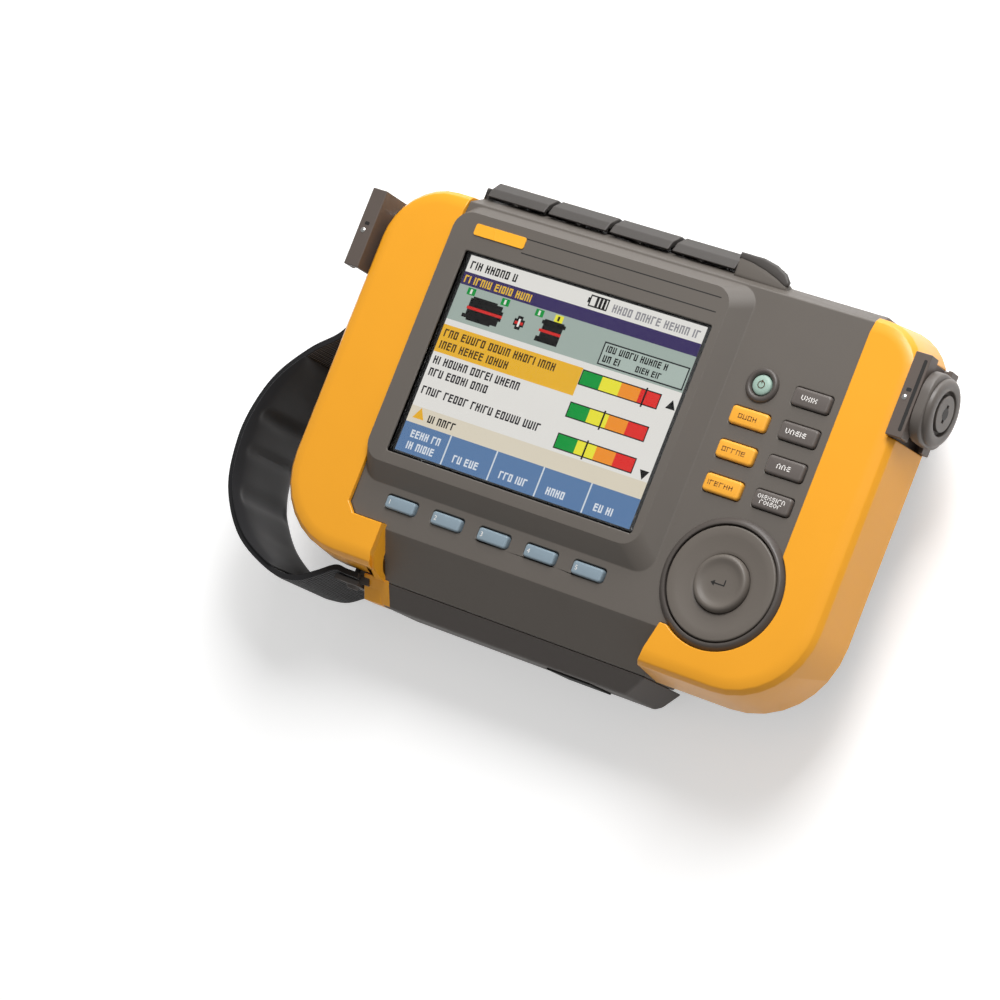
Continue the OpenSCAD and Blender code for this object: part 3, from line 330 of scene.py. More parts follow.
def soften(node, body, width, angle=30, reshape=None):
    """Copy of a CAD node, merged, with its hard edges rounded: the node's own form may be reshaped first."""
    bm = bmesh.new()
    bm.from_mesh(frame["nodes"][node].data)
    bmesh.ops.remove_doubles(bm, verts=bm.verts, dist=0.002 * MM)
    bmesh.ops.dissolve_limit(bm, angle_limit=math.radians(0.4), verts=bm.verts, edges=bm.edges)
    if reshape:
        reshape(bm)
    mesh = bpy.data.meshes.new(node + "_rounded")
    bm.to_mesh(mesh)
    bm.free()
    mesh.materials.append(FINISHES[SLOT_OF[node]])
    mesh.shade_smooth()
    obj = put(node + "_rounded", mesh)
    rim = obj.modifiers.new("rounded_edges", "BEVEL")
    rim.limit_method = "ANGLE"
    rim.angle_limit = math.radians(angle)
    rim.width = width * MM
    rim.segments = 3
    rim.use_clamp_overlap = False
    even = obj.modifiers.new("even_faces", "WEIGHTED_NORMAL")
    even.weight = 90
    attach(obj, body)
    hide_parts(node)
    return obj


UPRIGHT = Matrix.Identity(3)
# A piece drawn upright, laid so that its top points to the meter's right
OUTWARD = Matrix(((0, 0, 1), (1, 0, 0), (0, 1, 0)))


def move(bm, at, lay=UPRIGHT):
    """From the piece's own millimetres to its place in the part's frame, in metres."""
    bmesh.ops.rotate(bm, cent=(0, 0, 0), matrix=lay, verts=bm.verts)
    bmesh.ops.scale(bm, vec=(MM, MM, MM), verts=bm.verts)
    bmesh.ops.translate(bm, vec=spot(*at), verts=bm.verts)


def grow(bm, height, rim, rim_steps=4):
    """Raises a flat outline to a height and rounds its upper rim."""
    grown = bmesh.ops.extrude_face_region(bm, geom=bm.faces[:])
    top = [v for v in grown["geom"] if isinstance(v, bmesh.types.BMVert)]
    bmesh.ops.translate(bm, vec=(0, 0, height), verts=top)
    if rim:
        edges = [e for e in bm.edges if all(v.co.z > height - 1e-6 for v in e.verts)]
        bmesh.ops.bevel(bm, geom=edges, offset=rim, offset_type="OFFSET", affect="EDGES",
                        segments=rim_steps, profile=0.5, material=-1)


def block(w, h, radius, z0, z1, x=0.0, y=0.0, rim=0.0, corner_steps=6, rim_steps=4, lay=UPRIGHT):
    """Block with rounded corners and a rounded upper rim, in millimetres from the screen's middle."""
    bm = bmesh.new()
    bmesh.ops.create_grid(bm, x_segments=1, y_segments=1, size=0.5)
    bmesh.ops.scale(bm, vec=(w, h, 1), verts=bm.verts)
    if radius:
        bmesh.ops.bevel(bm, geom=bm.verts[:], offset=radius, offset_type="OFFSET", affect="VERTICES",
                        segments=corner_steps, profile=0.5, material=-1)
    grow(bm, z1 - z0, rim, rim_steps)
    move(bm, (z0, x, y) if lay is OUTWARD else (x, y, z0), lay)
    return bm


def turned(profile, x, y, z=0.0, steps=96, lay=UPRIGHT):
    """Turned piece: the profile is a chain of (radius, height) from the axis out and back."""
    bm = bmesh.new()
    chain = [bm.verts.new((r, 0, h)) for r, h in profile]
    for a, b in zip(chain, chain[1:]):
        bm.edges.new((a, b))
    bmesh.ops.spin(bm, geom=bm.verts[:] + bm.edges[:], cent=(0, 0, 0), axis=(0, 0, 1), angle=math.tau,
                   steps=steps, use_merge=True, use_duplicate=False)
    bmesh.ops.remove_doubles(bm, verts=bm.verts, dist=1e-4)
    move(bm, (x, y, z), lay)
    return bm


def prism(outline, z0, z1, rim=0.0):
    """Upright prism on an outline of (x, y) points, with its upper rim rounded."""
    bm = bmesh.new()
    bm.faces.new([bm.verts.new((x, y, 0)) for x, y in outline])
    grow(bm, z1 - z0, rim)
    move(bm, (0, 0, z0))
    return bm


def merge(target, extra):
    """Adds the faces of one bmesh to another."""
    mesh = bpy.data.meshes.new("scrap")
    extra.to_mesh(mesh)
    extra.free()
    target.from_mesh(mesh)
    bpy.data.meshes.remove(mesh)
    return target


# ---- Shells -------------------------------------------------------------------------------------

# Left end of the first port flap, from flap to flap, and the ridge along each
FLAP_LEFT, FLAP_PITCH, FLAP_RIDGE = -67.1, 30.4, 74.6
# Heights of the key panel and of the raised frame round the screen
PANEL, RAISED = -2.5, 3.0
# Places of the left and the right rail, and the height of their ends
LEFT_RAIL_X, RIGHT_RAIL_X, RAIL_TOP = -110.9, 149.2, 1.5


def drape(bm, heights):
    """Bends a piece down along its run from top to bottom, to the heights of (y, z) points."""
    for v in bm.verts:
        y = v.co.y / MM - SCREEN_Y
        for (y0, z0), (y1, z1) in zip(heights, heights[1:]):
            if y0 >= y >= y1:
                v.co.z += (z0 + (z1 - z0) * (y0 - y) / (y0 - y1)) * MM
                break
    return bm


def jog_ends(number):
    """Cuts a flap's left end back above its ridge and its right end below it.

    The gap between two flaps is stepped, and each still opens past its neighbour.
    """
    left = spot(FLAP_LEFT + (number - 1) * FLAP_PITCH, 0).x
    right = left + FLAP_PITCH * MM
    ridge = spot(0, FLAP_RIDGE).y

    def reshape(bm):
        for v in bm.verts:
            above = v.co.y > ridge
            if number > 1 and abs(v.co.x - left) < MM:
                v.co.x += (1.3 if above else 0.1) * MM
            elif number < 4 and abs(v.co.x - right) < MM:
                v.co.x -= (0.1 if above else 1.3) * MM
    return reshape


def open_window(bm):
    """Widens the window's opening to the right and down."""
    low, high, rebate = spot(-60, -44.5), spot(60, 44.5), spot(0, 0, 1.6).z
    for v in bm.verts:
        if v.co.z > rebate and all(low[k] < v.co[k] < high[k] for k in (0, 1)):
            if v.co.x > spot(58, 0).x:
                v.co.x += 1.1 * MM
            if v.co.y < spot(0, -42.5).y:
                v.co.y -= 0.9 * MM


def cut_end_block(bm):
    """Cuts back the end block right of the port flaps, which the hood covers."""
    corner = spot(60, 70.5)
    for v in bm.verts:
        if v.co.x > corner.x and v.co.y > corner.y:
            v.co.x -= 4 * MM
            v.co.y -= 1.2 * MM


def round_bezel(bm):
    """Rolls over the outer rim and the foot of the raised frame round the screen."""
    def edges_at(z, low, high, inside):
        level = [e for e in bm.edges if all(abs(v.co.z - z) < 0.02 * MM for v in e.verts)]
        return [e for e in level
                if all(low.x < v.co.x < high.x and low.y < v.co.y < high.y for v in e.verts) == inside]
    rim = edges_at(spot(0, 0, RAISED).z, spot(-60, -45.5), spot(61, 44.5), False)
    foot = edges_at(spot(0, 0, PANEL).z, spot(-69.3, -59), spot(74, 65), True)
    for edges, offset in ((rim, 2.4), (foot, 2.0)):
        bmesh.ops.bevel(bm, geom=edges, offset=offset * MM, offset_type="OFFSET", affect="EDGES", segments=4,
                        profile=0.5, material=-1, clamp_overlap=True)


def shape_front(bm):
    """The front case's own window, end block and raised frame."""
    open_window(bm)
    cut_end_block(bm)
    round_bezel(bm)


def slant_heel(bm):
    """Slants the right end of the heel bar back towards its lower edge."""
    top = spot(0, -95.1).y
    for v in bm.verts:
        if v.co.x > spot(70, 0).x:
            v.co.x -= (top - v.co.y) * 1.05


def make_shells():
    """The case and what is fixed on it, each with its hard edges rounded."""
    for node, width, reshape in (
            ("front_case", 0.5, shape_front), ("rear_case", 0.5, None), ("left_bumper", 0.45, None),
            ("right_bumper", 0.45, None), ("heel_bar", 1.0, slant_heel), ("heel_pad", 0.3, None),
            ("left_rail", 0.35, None), ("right_rail", 0.35, None), ("strap_plates", 0.25, None),
            ("nameplate", 0.12, None)):
        soften(node, "case", width, reshape=reshape)
    soften("battery_door", "battery_door", 0.3)
    for k in range(1, 5):
        flap = "port_flap_%d" % k
        soften(flap, flap, 0.45, angle=12, reshape=jog_ends(k))


def make_flap_hood():
    """What closes the row of port flaps at the right: a hood with a swell of the case below it."""
    hood = prism([(55.0, 75.0), (62.0, 74.2), (68.6, 72.6), (74.0, 70.8), (78.4, 68.8), (80.2, 69.4), (80.4, 71.2),
                  (77.8, 74.2), (72.4, 76.6), (66.0, 77.9), (55.0, 77.9)], -40, -7.6, 1.2)
    # The hood runs out backwards to a wedge along the last flap
    hinge_end = spot(55, 0).x
    for v in hood.verts:
        if v.co.z < spot(0, 0, -30).z:
            v.co.x = hinge_end + (v.co.x - hinge_end) * 0.15
    add_piece("flap_end_cap", hood, "case", "case_grey", FINISHES["flap_dark"], sharp=40)
    swell = prism([(55.0, 67.5), (55.0, 76.6), (62.0, 76.0), (68.6, 74.6), (74.0, 72.8), (77.8, 71.2), (79.6, 70.0),
                   (79.8, 67.0)], -13.8, -7.9, 1.6)
    add_piece("brow_swell", swell, "case", "case_grey", sharp=60)


def make_left_side():
    """Rear case's lower corner, bracket at the left end of the flaps, and the amber tab and leg beside the chin."""
    corner = block(5.5, 7.5, 0.5, -40, -17.5, -59.3, -95.5)
    add_piece("corner_filler", corner, "case", "rear_grey")
    bracket = block(2.6, 12.5, 0.5, -38, -11.5, -68.5, 68.0, 1.0)
    add_piece("flap_end_bracket", bracket, "case", "case_grey", FINISHES["flap_dark"], sharp=40)
    outline = [(-53, -73.6), (-49.2, -73.6), (-49.0, -80), (-48.8, -86), (-48.6, -89), (-48.5, -91.5), (-48.4, -93.5),
               (-48.4, -95.2), (-53, -95.2), (-53, -93.5), (-53, -91.5), (-53, -89), (-53, -86), (-53, -80)]
    tab = drape(prism(outline, -8, 0), [(-73, -0.7), (-86, -0.8), (-89, -1.9), (-91.5, -3.9), (-93.5, -8.0),
                                        (-95.3, -15.5)])
    leg = prism([(-56.4, -94.5), (-46.6, -94.5), (-46.6, -104), (-56.4, -104)], -3, 0.4, 0.3)
    merge(tab, drape(leg, [(-94, -15.6), (-104.1, -24.6)]))
    add_piece("bumper_tab", tab, "case", "bumper_amber", sharp=40)


def make_trim():
    """Painted shade of each rail's notch with its stud, painted shade along the right one's channel, and painted
    shade of the grooves above the screen: thin dark sheets on the surface.
    """
    for name, x in (("left", LEFT_RAIL_X), ("right", RIGHT_RAIL_X)):
        # Painted shade of the notch: a thin dark sheet on the rail's end, with no notch cut
        notch_shade = block(2.2, 1.5, 0.5, RAIL_TOP - 0.06, RAIL_TOP + 0.06, x + 0.6, 42.8, corner_steps=3)
        add_piece(name + "_rail_notch_shade", notch_shade, "case", "rail_dark", INK_AND_PAINTED_SHADE)
        stud = turned([(0, 0.5), (0.7, 0.42), (1.1, 0.1), (1.1, -0.3), (0, -0.3)], x - 0.2, 39.6, RAIL_TOP, 24)
        add_piece(name + "_rail_stud", stud, "case", "rail_dark", FINISHES["steel"])
    # Painted shade along the channel: a thin dark sheet on the rail's end
    channel = block(1.5, 29.5, 0.6, RAIL_TOP - 0.06, RAIL_TOP + 0.06, RIGHT_RAIL_X + 3, 41.0, corner_steps=3)
    add_piece("right_rail_channel_shade", channel, "case", "rail_dark", INK_AND_PAINTED_SHADE)
    for y in (55.7, 49.5):
        # Painted shade of each groove: a thin dark strip on the raised frame, with no groove cut
        groove_shade = block(94, 0.45, 0.1, RAISED - 0.04, RAISED + 0.03, 13, y, corner_steps=2)
        add_piece("front_groove_%d" % y, groove_shade, "case", "case_grey", INK_AND_PAINTED_SHADE)


# ---- Hub ----------------------------------------------------------------------------------------

HUB_Y, HUB_Z = 40.0, -13.5
# Outward from the screen's middle: the channel's floor, its mouth, the plate, its ring and the screw's face
HUB_FOOT, HUB_NECK, HUB_PLATE, HUB_RING, HUB_FACE = 149.25, 151.95, 154.4, 158.6, 161.0


def make_hub():
    """Hub that slides in the right rail: base and neck in the channel, plate, raised ring and its screw."""
    hub = block(26, 22.3, 0.6, HUB_FOOT, HUB_NECK, HUB_Y, HUB_Z, 0.3, lay=OUTWARD)
    merge(hub, block(26, 15.5, 0.6, HUB_FOOT, HUB_PLATE, HUB_Y, HUB_Z, lay=OUTWARD))
    merge(hub, block(29, 29, 10.5, HUB_PLATE - 0.15, HUB_RING, HUB_Y, HUB_Z, 1.1, 10, 5, lay=OUTWARD))
    merge(hub, turned([(9.1, 0), (13.7, 0), (13.6, 1.4), (13.2, 2.1), (12.6, 2.5), (11.8, 2.7), (9.8, 2.7),
                       (9.3, 2.5), (9.1, 2.1), (9.1, 0)], HUB_RING - 0.3, HUB_Y, HUB_Z, lay=OUTWARD))
    add_piece("hub_body", hub, "hub", "hub_grey", stands_for=("hub",), sharp=40)
    soften("hub_screw", "hub_screw", 0.25)
    # Painted shade of the screw's socket: a thin dark disc on its face, with no socket cut
    socket = turned([(0, 0), (2.5, 0), (2.5, 0.05), (0, 0.05)], HUB_FACE, HUB_Y, HUB_Z, steps=32, lay=OUTWARD)
    add_piece("hub_socket_shade", socket, "hub_screw", "hub_grey", INK_AND_PAINTED_SHADE)


# ---- Keys ---------------------------------------------------------------------------------------

# Soft keys: from key to key and their row; the other keys: from row to row, their two columns and the first row
SOFT_PITCH, SOFT_Y = 23.04, -64.3
KEY_PITCH, GREY_X, AMBER_X, TOP_KEY_Y = 14.3, 111.1, 88.4, 27.9
# Heights of a key's face and of its foot, and how thick the flange at its foot is
KEY_TOP, KEY_FOOT, FLANGE = -1.0, -8.3, 1
# Width and height of the keys' faces and flanges
SOFT_FACE, SOFT_FLANGE, KEY_FACE, KEY_FLANGE = (14.2, 5.4), (17, 7.5), (16.8, 7.4), (18.8, 9.4)


def strokes(height, seed, slim=0.56):
    """An endless row of plain stroke signs that spell nothing: (width, [(x0, x1, y0, y1), ...])."""
    draw = random.Random(seed)
    h, w, s = height, height * slim, height * 0.2
    left, right, foot, head, middle = ((0, s, 0, h), (w - s, w, 0, h), (0, w, 0, s), (0, w, h - s, h),
                                       (0, w, h * 0.45, h * 0.45 + s))
    signs = ((left, right, foot, head), (left, head), (left, right, head), (left, right, foot), (left,),
             (left, foot, middle, head), (left, right, middle))
    while True:
        bars = draw.choice(signs)
        yield max(b[1] for b in bars), bars


def word_marks(x, y, z, width, height, lines, seed):
    """A printed legend as plain strokes, centred on a key."""
    bm = bmesh.new()
    for line in range(lines):
        row_y = y - height / 2 + (lines - 1) * height * 0.62 - line * height * 1.24
        left = x - width / 2 + line * 1.5
        for wide, bars in strokes(height, seed + line, 0.85):
            if left + wide > x + width / 2 - line * 1.5:
                break
            for x0, x1, y0, y1 in bars:
                merge(bm, block(x1 - x0, y1 - y0, 0, z, z + 0.03, left + (x0 + x1) / 2, row_y + (y0 + y1) / 2))
            left += wide + height * 0.24
    return bm


def number(text, size, x, y, z):
    """Plain digits as a thin raised print."""
    curve = bpy.data.curves.new("digits", "FONT")
    curve.body = text
    curve.size = size
    curve.align_x = "CENTER"
    curve.align_y = "CENTER"
    curve.extrude = 0.015
    holder = put("digits", curve)
    bpy.context.view_layer.update()
    mesh = bpy.data.meshes.new_from_object(holder)
    bm = bmesh.new()
    bm.from_mesh(mesh)
    bpy.data.objects.remove(holder)
    bpy.data.curves.remove(curve)
    bpy.data.meshes.remove(mesh)
    bmesh.ops.remove_doubles(bm, verts=bm.verts, dist=1e-4)
    move(bm, (x, y, z + 0.02))
    return bm


def key_cap(x, y, face, flange, corner, rim):
    """Key with a rounded face on the flange that holds it under the panel."""
    cap = block(*face, corner, KEY_FOOT, KEY_TOP, x, y, rim=rim)
    return merge(cap, block(*flange, 1.6, KEY_FOOT, KEY_FOOT + FLANGE, x, y))


def make_keys():
    """Five soft keys with their digits, four grey and three amber keys with their legends."""
    for k in range(5):
        name = "soft_key_%d" % (k + 1)
        x = (k - 2) * SOFT_PITCH
        cap = key_cap(x, SOFT_Y, SOFT_FACE, SOFT_FLANGE, 1.2, 0.9)
        add_piece(name + "_cap", cap, name, "soft_key_blue", stands_for=(name,), sharp=50)
        digit = number(str(k + 1), 2.8, x - 5.0, SOFT_Y - 0.1, KEY_TOP)
        add_piece(name + "_mark", digit, name, "soft_key_blue", INK_WHITE)
    # Each legend is its width, the height of its signs and its number of lines
    for colour, x, first_row, ink, seed, legends in (
            ("grey", GREY_X, 0, INK_WHITE, 11, ((8.5, 2.0, 1), (11, 2.0, 1), (7, 2.0, 1), (13, 1.7, 2))),
            ("amber", AMBER_X, 1, INK_BROWN, 31, ((9, 2.0, 1), (12, 2.0, 1), (13, 2.0, 1)))):
        for k, (width, height, lines) in enumerate(legends):
            name = "%s_key_%d" % (colour, k + 1)
            y = TOP_KEY_Y - (k + first_row) * KEY_PITCH
            cap = key_cap(x, y, KEY_FACE, KEY_FLANGE, 1.5, 1.1)
            add_piece(name + "_cap", cap, name, "key_" + colour, stands_for=(name,), sharp=50)
            legend = word_marks(x, y, KEY_TOP, width, height, lines, seed + k)
            add_piece(name + "_mark", legend, name, "key_" + colour, ink)


# ---- Dial ---------------------------------------------------------------------------------------

DIAL_X, DIAL_Y = 103.6, -51.5
# Height of the centre button's middle, under its soft raised ring
ENTER_FACE = -0.1


def make_dial():
    """Collar, rocking disc and centre button."""
    collar = turned([(23.9, PANEL - 3), (23.9, PANEL + 2.2), (24.1, PANEL + 2.45), (24.5, PANEL + 2.5),
                     (25.0, PANEL + 2.4), (25.4, PANEL + 2.1), (26.8, PANEL + 0.5), (27.0, PANEL + 0.1),
                     (27.0, PANEL - 0.6), (25.0, PANEL - 0.6), (25.0, PANEL - 3), (23.9, PANEL - 3)],
                    DIAL_X, DIAL_Y)
    add_piece("dial_collar_turned", collar, "case", "ring_dark", stands_for=("dial_collar",))
    disc = turned([(12.1, -4.9), (24.2, -4.9), (24.2, -3.9), (23.2, -3.9), (23.2, -0.75), (23.0, -0.35),
                   (22.5, -0.2), (19.0, -0.75), (16.0, -1.15), (13.6, -1.35), (12.5, -1.4), (12.1, -1.6),
                   (12.1, -4.9)], DIAL_X, DIAL_Y)
    for side in (-1, 1):
        merge(disc, turned([(0, -6.2), (1.2, -6.2), (1.2, -4.7), (0, -4.7)], DIAL_X, DIAL_Y + side * 15.5,
                           steps=24))
    add_piece("nav_disc_turned", disc, "nav_disc", "dial_grey", stands_for=("nav_disc",), sharp=50)
    centre = turned([(0, -7.4), (11.8, -7.4), (11.8, -1.5), (11.7, -0.6), (11.4, 0.2), (10.9, 0.8), (10.2, 1.1),
                     (9.4, 0.9), (8.4, 0.4), (7.2, 0.05), (5.0, ENTER_FACE), (0, ENTER_FACE)], DIAL_X, DIAL_Y)
    add_piece("enter_button_turned", centre, "enter_button", "dial_grey", stands_for=("enter_button",), sharp=60)
    low, high = ENTER_FACE, ENTER_FACE + 0.06
    sign = block(4.6, 0.5, 0.1, low, high, DIAL_X - 0.4, DIAL_Y - 0.6, corner_steps=2)
    merge(sign, block(0.5, 2.6, 0.1, low, high, DIAL_X + 1.9, DIAL_Y + 0.45, corner_steps=2))
    merge(sign, prism([(DIAL_X - 4.2, DIAL_Y - 0.6), (DIAL_X - 2.4, DIAL_Y + 0.6), (DIAL_X - 2.4, DIAL_Y - 1.8)],
                      low, high))
    add_piece("enter_sign", sign, "enter_button", "dial_grey", INK_AND_PAINTED_SHADE)


def make_power_button():
    """Round green button in its raised ring, at the top of the amber keys' column."""
    ring = turned([(4.5, PANEL - 0.4), (7.2, PANEL - 0.4), (7.1, PANEL + 0.5), (6.8, PANEL + 1.1),
                   (6.3, PANEL + 1.5), (5.7, PANEL + 1.6), (5.1, PANEL + 1.4), (4.7, PANEL + 0.9),
                   (4.5, PANEL + 0.3), (4.5, PANEL - 0.4)], AMBER_X, TOP_KEY_Y, steps=64)
    add_piece("power_ring_turned", ring, "case", "ring_dark", stands_for=("power_ring",))
    button = turned([(0, KEY_FOOT), (5.2, KEY_FOOT), (5.2, KEY_FOOT + FLANGE), (4.2, KEY_FOOT + FLANGE), (4.2, -2.2),
                     (4.05, -1.7), (3.6, -1.35), (2.4, -1.1), (0, KEY_TOP)], AMBER_X, TOP_KEY_Y, steps=64)
    add_piece("power_button_turned", button, "power_button", "power_green", stands_for=("power_button",),
              sharp=60)
    sign = turned([(1.25, 0), (1.6, 0), (1.6, 0.06), (1.25, 0.06), (1.25, 0)], AMBER_X, TOP_KEY_Y, KEY_TOP - 0.02, 40)
    merge(sign, block(0.4, 1.5, 0.1, KEY_TOP, KEY_TOP + 0.08, AMBER_X, TOP_KEY_Y + 1.3, corner_steps=2))
    add_piece("power_sign", sign, "power_button", "power_green", INK_DARK)


# ---- Strap and its pad --------------------------------------------------------------------------

# The strap's inner face seen from above, from its upper plate out and round to its lower plate
STRAP_SPOTS = [Vector(p) for p in (
    (-104.35, 20.8), (-104.35, 14.8), (-104.35, 8.8), (-111.5, -4.0), (-122.54, -14.0), (-133.4, -28.5),
    (-138.7, -44.5), (-139.5, -60.4), (-135.0, -79.5), (-121.6, -96.5), (-102.5, -105.5), (-89.6, -106.0),
    (-80.3, -100.9), (-72.5, -95.85), (-66.5, -95.85), (-60.5, -95.85))]
STRAP_LOW, STRAP_HIGH, STRAP_THICK = -58.0, -14.0, 2.4
# Shares of the way along the strap where the pad starts and ends, the rise of its crown, its width past the strap
PAD_FROM, PAD_TO, PAD_RISE, PAD_MORE = 0.28, 0.67, 3.888, 1.6
# Of the pad's half length or width: where its two outer channels are sewn, how wide a seam is, where the rim starts
PAD_CHANNEL, PAD_SEAM, PAD_RIM = 0.36, 0.03, 0.985
# How far the stuffing may blow the pad's cover out, and in how many steps
PAD_BLOWN, PAD_STEPS = 1.8, 20


def strap_at(share):
    """Point on the strap's inner face, and its outward direction, at a share of the way along it."""
    count = len(STRAP_SPOTS) - 1

    def along(u):
        i = min(count - 1, max(0, int(u * count)))
        f = u * count - i
        a, b, c, d = (STRAP_SPOTS[min(count, max(0, i + k))] for k in (-1, 0, 1, 2))
        return 0.5 * (2 * b + (c - a) * f + (2 * a - 5 * b + 4 * c - d) * f * f
                      + (3 * b - a - 3 * c + d) * f * f * f)
    ahead = along(min(1.0, share + 0.004)) - along(max(0.0, share - 0.004))
    ahead.normalize()
    return along(share), Vector((ahead.y, -ahead.x))


def make_strap():
    """Flat webbing, laid along its route, with a woven rib of its own on its UV map."""
    bm = bmesh.new()
    bm.loops.layers.uv.new("weave")
    bmesh.ops.create_grid(bm, x_segments=96, y_segments=10, size=0.5, calc_uvs=True)
    for v in bm.verts:
        share, across = v.co.x + 0.5, v.co.y + 0.5
        at, out = strap_at(share)
        # The selvedge, the outer millimetre of the webbing, lies a little lower
        edge = min(across, 1 - across) * (STRAP_HIGH - STRAP_LOW)
        at = at + out * STRAP_THICK * (0.97 if edge > 1 else 0.8)
        v.co = spot(at.x, at.y, STRAP_LOW + across * (STRAP_HIGH - STRAP_LOW))
    bmesh.ops.recalc_face_normals(bm, faces=bm.faces)
    bmesh.ops.solidify(bm, geom=bm.faces[:], thickness=(STRAP_THICK - 0.1) * MM)
    add_piece("strap_webbing", bm, "case", "strap_black", stands_for=("hand_strap",), sharp=50)


def stuff(pad, held):
    """Blows the pad's cover up as cloth with its held points pinned, and keeps the shape it takes."""
    pins = pad.vertex_groups.new(name="sewn")
    pins.add(held, 1.0, "REPLACE")
    blow = pad.modifiers.new("stuffing", "CLOTH")
    blow.settings.quality = 6
    blow.settings.mass = 0.15
    blow.settings.vertex_group_mass = "sewn"
    blow.settings.use_pressure = True
    blow.settings.uniform_pressure_force = 4
    blow.settings.effector_weights.gravity = 0
    blow.settings.tension_stiffness = 25
    blow.settings.compression_stiffness = 25
    blow.collision_settings.use_collision = False
    rest = [v.co.copy() for v in pad.data.vertices]
    for step in range(1, PAD_STEPS + 1):
        scene.frame_set(step)
    blown = pad.evaluated_get(bpy.context.evaluated_depsgraph_get()).to_mesh()
    moved = [v.co.copy() for v in blown.vertices]
    pad.to_mesh_clear()
    pad.modifiers.clear()
    pad.vertex_groups.clear()
    for v, start, end in zip(pad.data.vertices, rest, moved):
        shift = end - start
        if shift.length > PAD_BLOWN * MM:
            shift = shift.normalized() * PAD_BLOWN * MM
        v.co = start + shift
    scene.frame_set(1)


def make_pad():
    """Stuffed pad on the inner face of the strap: blown up as cloth between its rim and its sewn channels."""
    bm = bmesh.new()
    bmesh.ops.create_cube(bm, size=1)
    for axis, cuts in ((0, 35), (1, 19), (2, 1)):
        edges = [e for e in bm.edges if abs(e.verts[0].co[axis] - e.verts[1].co[axis]) > 0.01]
        bmesh.ops.subdivide_edges(bm, edges=edges, cuts=cuts, use_grid_fill=True)
    bm.verts.index_update()
    held = []
    width = STRAP_HIGH - STRAP_LOW + PAD_MORE
    for v in bm.verts:
        run, across, deep = v.co.x * 2, v.co.y * 2, 0.5 - v.co.z
        crown = ((1 - abs(run) ** 5) * (1 - abs(across) ** 4)) ** 0.5
        channel = min(abs(abs(run) - PAD_CHANNEL), abs(run)) if abs(across) < 0.86 else 1.0
        sewn = channel < PAD_SEAM
        thick = 0.5 + PAD_RISE * crown * (0.42 if sewn else 1.0)
        if deep < 0.25 or sewn or abs(run) > PAD_RIM or abs(across) > PAD_RIM:
            held.append(v.index)
        at, out = strap_at(PAD_FROM + (run + 1) / 2 * (PAD_TO - PAD_FROM))
        at = at - out * (0.35 + thick * deep)
        v.co = spot(at.x, at.y, (STRAP_LOW + STRAP_HIGH) / 2 + across / 2 * width)
    bmesh.ops.recalc_face_normals(bm, faces=bm.faces)
    pad = add_piece("strap_pad_stuffed", bm, "case", "pad_black", stands_for=("strap_pad",), sharp=75)
    stuff(pad, held)
    smooth = pad.modifiers.new("fine", "SUBSURF")
    smooth.levels = smooth.render_levels = 1


# ---- Screen picture -----------------------------------------------------------------------------

# Height of the lit picture behind the window, half its width and height, and the top of its soft key labels
PICTURE_Z = -0.38
HALF_W, HALF_H = 57.6, 43.2
BLUE_TOP = -30.5
WHITE, BLACK = tone(236, 233, 228), tone(14, 13, 14)
PURPLE, MIST, YELLOW, SAND, BLUE = (tone(58, 46, 98), tone(166, 180, 172), tone(242, 184, 46), tone(228, 218, 198),
                                    tone(94, 128, 172))
ON_YELLOW, ON_WHITE, ON_BLUE = tone(84, 62, 20), tone(40, 38, 42), tone(224, 230, 238)
TAG_GREEN, LEMON, SHAFT_RED = tone(0, 150, 60), tone(244, 236, 60), tone(214, 40, 36)
LEVELS = tone(0, 155, 60), LEMON, tone(250, 150, 45), tone(232, 44, 40)


